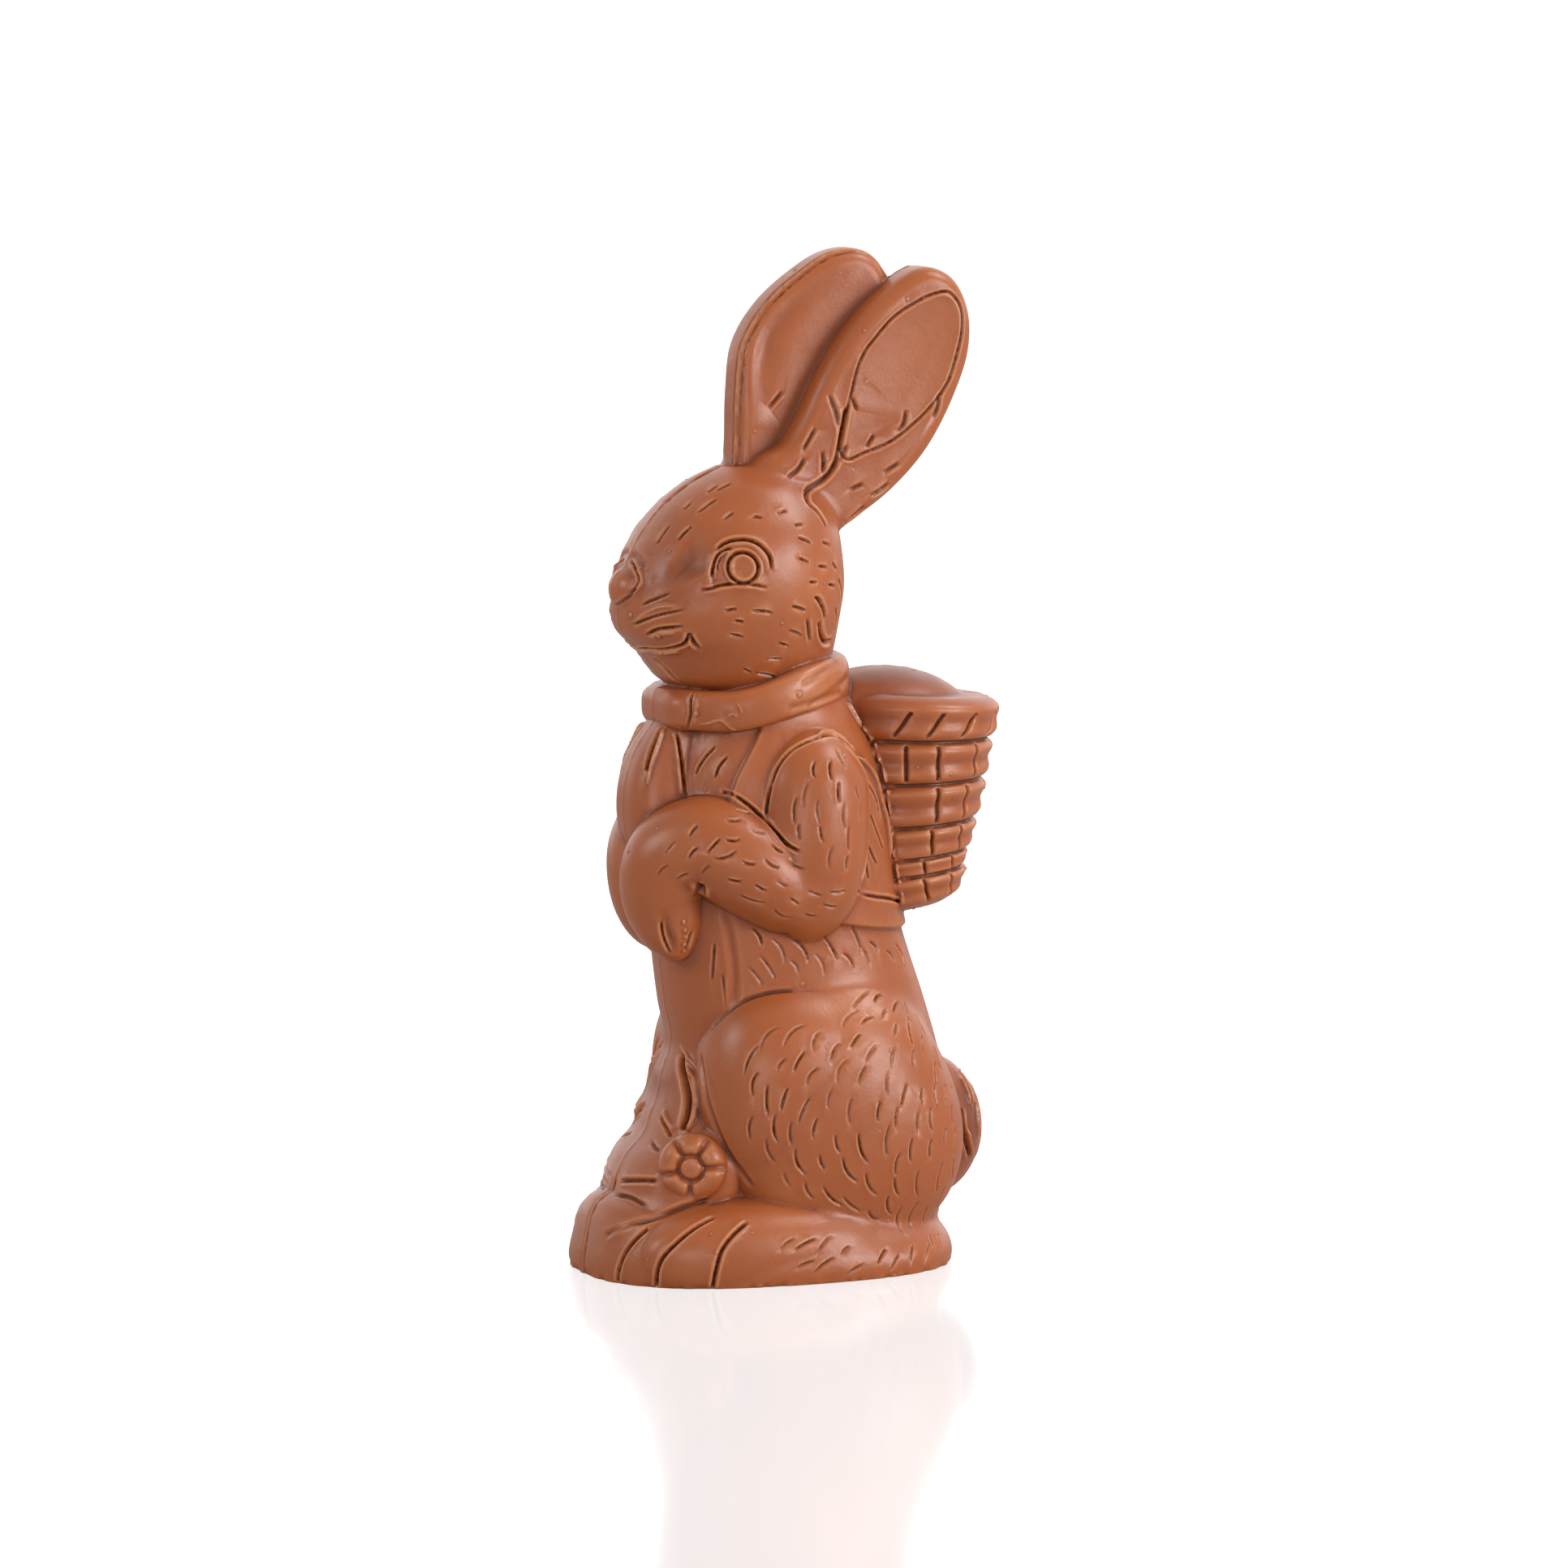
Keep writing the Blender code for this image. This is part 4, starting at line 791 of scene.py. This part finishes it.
x, facing = points[:, 0], normals[:, 0]
folded = np.column_stack([np.abs(x), points[:, 1:]])
on_head = folded[:, 0] > 9
lift = patch(folded, eye_white, -0.45, 0.6) * on_head
lift += patch(folded, pupil, 0.2, 1.4) * on_head
lift += outlined(folded, pupil, -0.85, 0.65) * on_head
lift += outlined(points, left_panel, -0.42, 0.5) * (x > 3.5)
lift += outlined(points, right_panel, -0.42, 0.5) * (x < -3.5)
for depth, width, path in lines:
    lift += along_line(folded, on_skin(path), depth, width)
for depth, width, path in left_ear_lines + right_ear_lines:
    lift += along_line(points, on_skin(path), depth, width)
# The seam is rough by a draw for about each millimetre that it runs up or back.
rough = np.random.default_rng(40).uniform(0.2, 1.0, seam_samples)
along_seam = 1.3 * points[:, 2] + 0.9 * points[:, 1] + 60
at_ears = eased((points[:, 2] - ears_from) / 12)
at_mound = seam_at_mound * eased((mound_below - points[:, 2]) / 3)
strength = seam_least + (1 - seam_least) * np.maximum(at_ears, at_mound)
ridge = seam_height * strength * np.interp(along_seam, np.arange(seam_samples), rough)
ridge *= np.abs(facing) < 0.9
lift += ridge * np.exp(-((x / seam_spread) ** 2))
beside = np.exp(-(((np.abs(x) - beside_seam) / beside_spread) ** 2))
lift -= beside_share * ridge * (strength > 0.8) * beside


def bubble(centre, size):
    """A speck with a fine ring round it."""
    found = [number for _, number, _ in places.find_range(centre, 3 * size)]
    away = np.linalg.norm(points[found] - np.array(centre), axis=1) / size
    lift[found] += size * (0.8 * np.exp(-(away**2)) - 0.4 * np.exp(-(((away - 1.8) / 0.5) ** 2)))


for spot in on_skin(bubbles) + on_skin([(-a, b, c) for a, b, c in bubbles]):
    bubble(spot, bubble_size)
bubble_draw = np.random.default_rng(12)
for number in bubble_draw.choice(len(points), fine_bubbles, replace=False):
    bubble(tuple(points[number]), bubble_draw.uniform(0.12, 0.22))


# Where the basket starts behind the vest: heights, and y there.
basket_start = [(57, 22.2), (63, 20.9), (69, 19.4), (79, 18.2), (85, 16.6), (88, 14.8), (92, 12.6)]
weave_low = 58.4
weave_high = 90
# The depth and width of the second cut, and how far off the courses' own radius it still reaches.
notch_recut = (-0.22, 0.5)
crease_recut = (-0.26, 0.6)
recut_reach = 1.6


def weave_lift():
    """The basket's notches and the creases between its courses, cut again where the skin's
    softness rounded them. A point's height is taken back to where it lay before the rise."""
    x, y, z = points.T
    height = (z - rise * (y - rise_from)) / (1 - rise_loss * (y - rise_from))
    turn, reach = round_basket(x, y, height)
    front = np.interp(z, *np.array(basket_start).T)
    low, high, at_low, at_high = np.array(courses).T
    ends = np.column_stack([low, high]).ravel()
    outer = np.interp(height, ends, np.column_stack([at_low, at_high]).ravel())
    here = eased((y - front) / 1.2) * (np.abs(reach - outer) < recut_reach)
    here = here * (height > weave_low) * (height < weave_high)
    creases = np.abs(height[:, None] - (high[:-1] + low[1:]) / 2).min(axis=1)
    return here * (cut(notch_distance(height, turn), *notch_recut) + cut(creases, *crease_recut))


lift += weave_lift()


# The fur.
# Short hairs are cut all over the coat as curved ticks with one sharp side, each lying with
# its neighbours: back from the face, down the arms, and round the thigh in a sweep.

hair_depth = 0.46
hair_width = 0.3
# Shares of a hair's width: its steep side, its gentle side, and where its lip lies and spreads.
steep_side = 0.5
gentle_side = 0.85
hair_lip_away = 1.2
hair_lip_spread = 0.6
# The lip's height as a share of the hair's depth.
hair_lip_share = 0.25
# How much less a distance counts along a hair than across it.
lengthwise_ease = 0.56
# Hairs are cut only where the skin turns this far sideways, from at most so many places tried.
least_facing = 0.35
most_tries = 8000


def hairs(region, gap, length, lie, seed, bow):
    """Cuts hairs inside a region of the side view, on both sides, each gap or so from the next
    sideways and half as far again along its length. lie gives its angle at each y and z: 0 towards
    the tail, 90 upwards. bow is how far its middle swings forward."""
    draw = np.random.default_rng(seed)
    low, high = np.min(region, axis=0), np.max(region, axis=0)
    seen = ((points[:, 1:] > low) & (points[:, 1:] < high)).all(1)
    seen &= (np.abs(facing) > least_facing) & (np.abs(x) > 7)
    candidates = draw.permutation(np.flatnonzero(seen))[:most_tries]
    candidates = candidates[inside(points[candidates, 1:], region) > 0]
    taken = np.empty((0, 3))
    for start in candidates:
        spot = points[start]
        angle = math.radians(lie(spot[1], spot[2]))
        away = taken - spot
        ahead = away[:, 1] * math.cos(angle) + away[:, 2] * math.sin(angle)
        apart = (away**2).sum(1) - lengthwise_ease * ahead**2
        if len(taken) and np.min(apart) < (gap * draw.uniform(0.75, 1.25)) ** 2:
            continue
        taken = np.vstack([taken, spot])
        angle += math.radians(draw.normal(0, 8))
        span = length * draw.uniform(0.65, 1.4)
        one_hair(spot, normals[start], angle, span, bow * draw.uniform(0.4, 1.7), draw.uniform(0.5, 1.2))


def one_hair(spot, out, angle, span, bow, strength):
    """A curved tick with a steep front side and a gentle back, its ends running out."""
    ahead = np.array([0, math.cos(angle), math.sin(angle)])
    ahead -= (ahead @ out) * out
    ahead /= np.linalg.norm(ahead)
    front = np.cross(out, ahead) * math.copysign(1, out[0])
    found = [number for _, number, _ in places.find_range(spot, span / 2 + 1.2)]
    offset = points[found] - spot
    along = np.clip(2 * (offset @ ahead) / span, -1, 1)
    over = np.abs(offset @ ahead) - span / 2
    across = offset @ front - bow * span * (0.35 - along**2)
    taper = (1 - along**2) ** 0.6 * (over < 0) * (normals[found] @ out > 0.3)
    reach = np.where(across > 0, steep_side * hair_width, gentle_side * hair_width)
    deep = strength * hair_depth * taper
    lift[found] -= deep * np.exp(-((across / reach) ** 2))
    from_lip = (across - hair_lip_away * hair_width) / (hair_lip_spread * hair_width)
    lift[found] += hair_lip_share * deep * np.exp(-(from_lip**2))


# The hairs of the head, where few are cut: y, z, lie and length of each.
head_hairs = [
    (-9.0, 126.4, 20, 2.9), (-15.2, 124.4, 32, 1.8), (-12.4, 123.6, 32, 3.9), (-10.0, 122.2, 32, 2.3),
    (-16.4, 119.6, 34, 3.3), (-21.0, 120.6, 50, 3.6), (-1.2, 122.6, 18, 1.8), (-5.6, 122.0, -14, 1.8),
    (1.4, 120.6, 12, 1.6), (-10.6, 126.0, 30, 2.0), (2.2, 118.2, -20, 2.8), (1.6, 115.0, -22, 2.3),
    (5.6, 113.8, -6, 2.4), (7.6, 110.6, -10, 2.2), (3.4, 111.4, -6, 1.7), (0.8, 107.4, -20, 3.0),
    (-5.8, 107.2, -8, 3.8), (-11.0, 107.6, 10, 2.0), (-9.6, 105.8, -8, 1.6), (0.6, 103.4, -26, 3.2),
    (-9.8, 103.4, -12, 2.4), (-1.4, 101.6, -26, 2.2), (-2.6, 99.2, 0, 2.6), (-6.8, 97.4, -30, 1.6),
    (-3.4, 96.6, -16, 3.6), (6.6, 117.2, -10, 2.2), (8.4, 113.6, -30, 2.0), (4.6, 108.6, -24, 2.0),
]
upper_arm_region = [(-2.5, 77), (-0.5, 81), (3, 84.5), (7, 84), (9, 80), (9.6, 75), (8.4, 69), (4.6, 66)]
upper_arm_region += [(0, 69.4), (-2.5, 73)]
forearm_region = [(-13, 74), (-9, 75.5), (-6.5, 72), (-2, 67.5), (2, 64.6), (6.6, 63), (4, 59.6)]
forearm_region += [(-2, 58.6), (-8, 60), (-12, 64), (-14, 68)]
paw_region = [(-22.5, 67), (-21, 71), (-17, 74), (-14, 72), (-15.5, 67.5), (-19, 65)]
belly_region = [(-6.5, 55.5), (-2, 53.6), (4, 53), (9.6, 54), (17, 53), (21, 50), (15, 50.6)]
belly_region += [(9, 50), (5, 49.6), (-3, 50), (-6.5, 48.6)]
thigh_region = [(-9.0, 36.5), (-5.4, 40.4), (0, 42.2), (6, 42.6), (12, 45.4), (17, 45), (22, 40)]
thigh_region += [(26.5, 28), (27.5, 19), (26, 13), (22, 8), (13.2, 8.2), (6.3, 9.8), (1.6, 13.4)]
thigh_region += [(-5, 17.5), (-8.4, 22), (-10.6, 27), (-11, 33)]
foot_region = [(-5, 3.2), (-4, 8), (3, 6), (11, 4.5), (20, 5.2), (25, 4.5), (23, 1.8), (8, 1.8)]


def forearm_lie(y, z):
    """Down the forearm, turning up at the elbow and at the wrist."""
    return -24 + 4 * max(y - 1, 0) + 7 * max(-y - 9, 0)


def thigh_lie(y, z):
    """The sweep of the thigh: rising at the knee, upright in the middle, falling at the foot."""
    back = eased((y - 8) / 12)
    return (1 - back) * (35 + 3.2 * (43 - z)) + back * (66 + (38 - z))


head_draw = np.random.default_rng(3)
for side in (-1, 1):
    for y, z, angle, span in head_hairs:
        on_side = np.flatnonzero((facing * side > 0.3) & (np.abs(x) > 6))
        offset = points[on_side, 1:] - (y, z)
        start = on_side[np.argmin((offset**2).sum(1))]
        strength = head_draw.uniform(0.8, 1.4)
        one_hair(points[start], normals[start], math.radians(angle), span, 0.04, strength)
hairs(upper_arm_region, 3.1, 3.3, lambda y, z: 92 - 1.6 * max(72 - z, 0), seed=5, bow=0.09)
hairs(forearm_region, 3.2, 3.0, forearm_lie, seed=8, bow=-0.08)
hairs(paw_region, 3.0, 2.8, lambda y, z: 46, seed=2, bow=0.06)
hairs(belly_region, 2.9, 3.6, lambda y, z: 120, seed=21, bow=-0.1)
hairs(thigh_region, 3.25, 3.9, thigh_lie, seed=14, bow=0.1)
hairs(foot_region, 3.1, 3.4, lambda y, z: 36 + 1.6 * max(y - 6, 0), seed=6, bow=0.08)

# Nothing is cut right at the base, whose scraped rim has small chips broken out of it instead.
uncut_height = 0.6
chip_places = 150
chip_depth = 0.3
chip_height = 0.7

standing = eased(points[:, 2] / uncut_height)
points += (lift * standing)[:, None] * normals
turn = (np.arctan2(points[:, 1], points[:, 0]) + math.pi) / math.tau * chip_places
chip_draw = np.random.default_rng(9).uniform(-chip_depth, chip_depth, chip_places + 1)
chips = np.interp(turn, np.arange(chip_places + 1), chip_draw)
at_rim = np.exp(-((points[:, 2] / chip_height) ** 2))
points[:, :2] += (np.minimum(chips, 0.1) * at_rim)[:, None] * normals[:, :2]


# The cut base and the finished mesh.
# The underside was scraped level while the chocolate was soft. The dense skin is thinned where
# it is smooth and kept where it is engraved, and each point carries its painted shade and sheen:
# darker the deeper it lies in a hollow, paler where it stands on a ridge.

most_triangles = 197000
MM = 0.001
# A place is wholly hollow, and painted darkest as shade, where it lies this deep under the skin
# drawn smooth: by a few steps for the lines and hairs, and by many for the folds between the forms.
fine_steps = 14
fine_hollow = 0.16
wide_steps = 90
wide_hollow = 0.65
# Spots of painted shade, where the colour is made deeper, and of painted sheen, where it is made
# paler: |x|, y, z, the reach and how much.
painted_light_spots = [
    # Painted shade: the hollow before the eye, the side of the nose, and the roots of the ears.
    (12.4, -16.6, 114.2, 4.2, 0.38), (9.5, -20.6, 112.4, 3.4, 0.25), (7.5, 4.0, 123.0, 3.5, 0.3),
    # Painted shade: the heap in the basket, the tail, and the leaf's front face.
    (4.0, 18.0, 95.0, 7.0, 0.45), (4.0, 28.0, 95.0, 7.0, 0.45), (6.0, 33.0, 22.0, 9.0, 0.6),
    (2.0, -16.6, 31.0, 4.0, 0.35),
    # Painted sheen: the scarf's side, the thigh's top, the back of the cheek, and the foot's top.
    (14.0, 3.0, 93.4, 6.0, -0.35), (18.0, 9.0, 43.0, 8.0, -0.3), (15.0, 3.0, 110.0, 6.0, -0.2),
    (19.0, -4.0, 11.0, 7.0, -0.25), (16.0, 8.0, 88.0, 4.0, -0.2),
]


def averaged(steps):
    """The rabbit's points, each drawn towards its neighbours step by step."""
    drawn = rabbit.modifiers.new("drawn", "SMOOTH")
    drawn.factor = 0.5
    drawn.iterations = steps
    evaluated = rabbit.evaluated_get(bpy.context.evaluated_depsgraph_get())
    found = numbers(evaluated.data.vertices, "co", 3)
    rabbit.modifiers.remove(drawn)
    return found


mesh.vertices.foreach_set("co", points.astype(np.float32).ravel())
mesh.update()
level = averaged(fine_steps)
wide_level = averaged(wide_steps)
# Painted shade and sheen: darker the deeper a point lies under the skin drawn smooth, paler where it
# stands above it.
painted_shade_and_sheen = ((level - points) * normals).sum(1) / fine_hollow
painted_shade_and_sheen += ((wide_level - level) * normals).sum(1) / wide_hollow
# The spots of painted shade and painted sheen.
for *middle, reach, amount in painted_light_spots:
    away = np.linalg.norm(np.column_stack([np.abs(points[:, 0]), points[:, 1:]]) - middle, axis=1)
    painted_shade_and_sheen += amount * np.exp(-((away / reach) ** 2))
mesh.vertices.foreach_set("co", (points * MM).astype(np.float32).ravel())
carried = mesh.attributes.new("painted_shade_and_sheen", "FLOAT", "POINT")
carried.data.foreach_set("value", np.clip(painted_shade_and_sheen, -1, 1).astype(np.float32))

thinned = rabbit.modifiers.new("thinned", "DECIMATE")
thinned.ratio = most_triangles / (2 * len(mesh.polygons))
settled(rabbit)
body = bmesh.new()
body.from_mesh(rabbit.data)
everything = body.verts[:] + body.edges[:] + body.faces[:]
floor_cut = dict(plane_co=(0, 0, 0), plane_no=(0, 0, -1), clear_outer=True)
bmesh.ops.bisect_plane(body, geom=everything, dist=1e-6, **floor_cut)
rim = [e for e in body.edges if e.is_boundary]
bmesh.ops.triangle_fill(body, edges=rim, use_beauty=True, use_dissolve=False)
bmesh.ops.recalc_face_normals(body, faces=body.faces)
body.to_mesh(rabbit.data)
body.free()
rabbit.data.shade_smooth()
rabbit.data.set_sharp_from_angle(angle=math.radians(75))


# The chocolate.
# Milk chocolate, cast against a polished mould: a warm brown with a soft gloss, with a faint grain.
# Its colour is painted paler on the ridges, partly as rubbing and partly as a highlight, and deeper
# and redder in the hollows as shade; the spots listed above add painted shade and sheen.

# The sizes of its patterns and the distance of their bump, in millimetres.
cloud_width = 11.765
ripple_width = 3.03
grain_width = 0.5263
bump_height = 0.06


def linear(text):
    """An sRGB hex colour as the linear colour that a shader takes."""
    channels = [int(text[i:i + 2], 16) / 255 for i in (1, 3, 5)]
    return [c / 12.92 if c <= 0.04045 else ((c + 0.055) / 1.055) ** 2.4 for c in channels] + [1.0]


def node(tree, kind, settings=None, **sockets):
    """Adds a node. settings are its own values, and sockets its inputs: a value or another's output.
    An input is given by its name, or as _0, _1 and so on by its number."""
    made = tree.nodes.new(kind)
    for name, value in (settings or {}).items():
        setattr(made, name, value)
    for name, value in sockets.items():
        socket = made.inputs[int(name[1:]) if name[0] == "_" else name.replace("_", " ")]
        if isinstance(value, bpy.types.NodeSocket):
            tree.links.new(value, socket)
        else:
            socket.default_value = value
    return made


def ramp(made, stops):
    """The colours of a Color Ramp node, at their places."""
    elements = made.color_ramp.elements
    while len(elements) < len(stops):
        elements.new(0.5)
    for element, (place, colour) in zip(elements, stops):
        element.position = place
        element.color = linear(colour)
    return made


def milk_chocolate():
    material = bpy.data.materials.new("moulded_milk_chocolate")
    material.use_nodes = True
    tree = material.node_tree
    shader = tree.nodes["Principled BSDF"]
    coordinates = node(tree, "ShaderNodeTexCoord").outputs["Object"]
    # The painted shade and sheen carried by the skin.
    painted_shade_and_sheen = node(tree, "ShaderNodeAttribute", {"attribute_name": "painted_shade_and_sheen"}).outputs["Fac"]
    # Clouds 12 mm across, where the chocolate cooled a little faster or slower.
    clouds = node(tree, "ShaderNodeTexNoise", None, Vector=coordinates, Scale=1 / (cloud_width * MM),
                  Detail=3.0, Roughness=0.55)
    depth = node(tree, "ShaderNodeMapRange", None, Value=painted_shade_and_sheen, From_Min=-1.0, From_Max=1.0)
    shifted = node(tree, "ShaderNodeMath", {"operation": "MULTIPLY_ADD"},
                   _0=clouds.outputs["Fac"], _1=0.16, _2=-0.08)
    mixed = node(tree, "ShaderNodeMath", {"operation": "ADD"},
                 _0=depth.outputs["Result"], _1=shifted.outputs[0])
    # The ramp: pale for the painted highlight on the ridges, the chocolate's own browns in the middle,
    # and dark for painted shade in the hollows.
    colour = ramp(node(tree, "ShaderNodeValToRGB", None, Fac=mixed.outputs[0]), [
        (0.12, "#bb764c"), (0.40, "#a4582d"), (0.60, "#944b26"), (0.80, "#72381d"), (1.0, "#4c2514")])
    tree.links.new(colour.outputs["Color"], shader.inputs["Base Color"])
    # A grain of 0.5 mm and a ripple of 3 mm, both far finer than any form.
    grain = node(tree, "ShaderNodeTexNoise", None, Vector=coordinates, Scale=1 / (grain_width * MM),
                 Detail=2.0)
    ripple = node(tree, "ShaderNodeTexNoise", None, Vector=coordinates, Scale=1 / (ripple_width * MM),
                  Detail=2.0)
    rough = node(tree, "ShaderNodeMath", {"operation": "MULTIPLY_ADD"},
                 _0=ripple.outputs["Fac"], _1=0.16, _2=0.28)
    tree.links.new(rough.outputs[0], shader.inputs["Roughness"])
    height = node(tree, "ShaderNodeMath", {"operation": "MULTIPLY_ADD"},
                  _0=ripple.outputs["Fac"], _1=3.0, _2=grain.outputs["Fac"])
    bump = node(tree, "ShaderNodeBump", None, Strength=0.35, Distance=bump_height * MM,
                Height=height.outputs[0])
    tree.links.new(bump.outputs["Normal"], shader.inputs["Normal"])
    shader.inputs["IOR"].default_value = 1.5
    return material


rabbit.data.materials.append(milk_chocolate())
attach(rabbit, "root")
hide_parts("chocolate_bunny")


# The floor, the light and the camera.
# A white glossy table in a white room, brightest beyond the rabbit, under four soft boxes. The
# camera looks at its left side from 22 degrees in front of square on and 7 degrees above level.


def glossy_white():
    material = bpy.data.materials.new("white_gloss_table")
    material.use_nodes = True
    tree = material.node_tree
    tree.nodes.remove(tree.nodes["Principled BSDF"])
    matt = node(tree, "ShaderNodeBsdfDiffuse", None, Color=linear("#b4b2b0"))
    shade = node(tree, "ShaderNodeBsdfDiffuse", None, Color=linear("#404040"))
    lit = node(tree, "ShaderNodeEmission", None, Color=linear("#ffffff"), Strength=1.18)
    base = node(tree, "ShaderNodeAddShader", None, _0=shade.outputs[0], _1=lit.outputs[0])
    gloss = node(tree, "ShaderNodeBsdfAnisotropic", None, Color=linear("#ffffff"), Roughness=0.12)
    glossy = node(tree, "ShaderNodeMixShader", None, _0=0.35, _1=base.outputs[0], _2=gloss.outputs[0])
    seen = node(tree, "ShaderNodeLightPath").outputs["Is Camera Ray"]
    mixed = node(tree, "ShaderNodeMixShader", None, _0=seen, _1=matt.outputs[0], _2=glossy.outputs[0])
    tree.links.new(mixed.outputs[0], tree.nodes["Material Output"].inputs["Surface"])
    return material


under_base = 0.05
sheet = bmesh.new()
bmesh.ops.create_grid(sheet, x_segments=1, y_segments=1, size=12.0)
bmesh.ops.translate(sheet, verts=sheet.verts, vec=(0, 0, -under_base * MM))
floor_mesh = bpy.data.meshes.new("white_table")
sheet.to_mesh(floor_mesh)
sheet.free()
floor = bpy.data.objects.new("white_table", floor_mesh)
floor.data.materials.append(glossy_white())
bpy.context.scene.collection.objects.link(floor)

world = bpy.data.worlds.new("white_room")
bpy.context.scene.world = world
world.use_nodes = True
sky = world.node_tree
backdrop = sky.nodes["Background"]
backdrop.inputs["Strength"].default_value = 1.05
direction = node(sky, "ShaderNodeTexCoord").outputs["Generated"]
brightest_way = (-0.93, 0.37, 0.0)
behind = node(sky, "ShaderNodeVectorMath", {"operation": "DOT_PRODUCT"},
              _0=direction, _1=brightest_way)
brightness = node(sky, "ShaderNodeMapRange", {"interpolation_type": "SMOOTHSTEP"},
                  Value=behind.outputs["Value"], From_Min=0.0, From_Max=0.9, To_Min=0.46, To_Max=1.5)
around = node(sky, "ShaderNodeBackground", None,
              Color=linear("#ffffff"), Strength=brightness.outputs["Result"])
seen = node(sky, "ShaderNodeLightPath").outputs["Is Camera Ray"]
backdrop.inputs["Color"].default_value = (1, 1, 1, 1)
either = node(sky, "ShaderNodeMixShader", None, _0=seen, _1=around.outputs[0], _2=backdrop.outputs[0])
sky.links.new(either.outputs[0], sky.nodes["World Output"].inputs["Surface"])

middle = Vector((0, 0.0043, 0.0774))


def softbox(name, place, size, power):
    lamp = bpy.data.lights.new(name, "AREA")
    lamp.shape = "RECTANGLE"
    lamp.size, lamp.size_y = size
    lamp.energy = power
    made = bpy.data.objects.new(name, lamp)
    made.location = Vector(place)
    made.rotation_mode = "QUATERNION"
    made.rotation_quaternion = (made.location - middle).to_track_quat("Z", "Y")
    bpy.context.scene.collection.objects.link(made)


softbox("right_softbox", (0.93, 0.72, 0.32), (0.5, 0.45), 8)
softbox("back_softbox", (0.29, 0.72, 0.99), (0.4, 0.4), 5.4)
softbox("front_softbox", (0.0, -1.09, 0.58), (0.5, 0.4), 3.6)
softbox("near_softbox", (1.04, -0.6, 0.07), (0.5, 0.4), 3)

view_turn = math.radians(22)
view_rise = math.radians(7)
view_distance = 1.4
level_share = math.cos(view_rise)
towards = Vector((math.cos(view_turn) * level_share, -math.sin(view_turn) * level_share,
                  math.sin(view_rise)))
lens = bpy.data.cameras.new("camera")
lens.lens = 200
lens.sensor_width = 36
lens.clip_start, lens.clip_end = 0.05, 20
camera = bpy.data.objects.new("camera", lens)
camera.location = middle + view_distance * towards
camera.rotation_mode = "QUATERNION"
camera.rotation_quaternion = towards.to_track_quat("Z", "Y")
bpy.context.scene.collection.objects.link(camera)
bpy.context.scene.camera = camera
bpy.context.scene.view_settings.view_transform = "Standard"
bpy.context.scene.view_settings.look = "None"
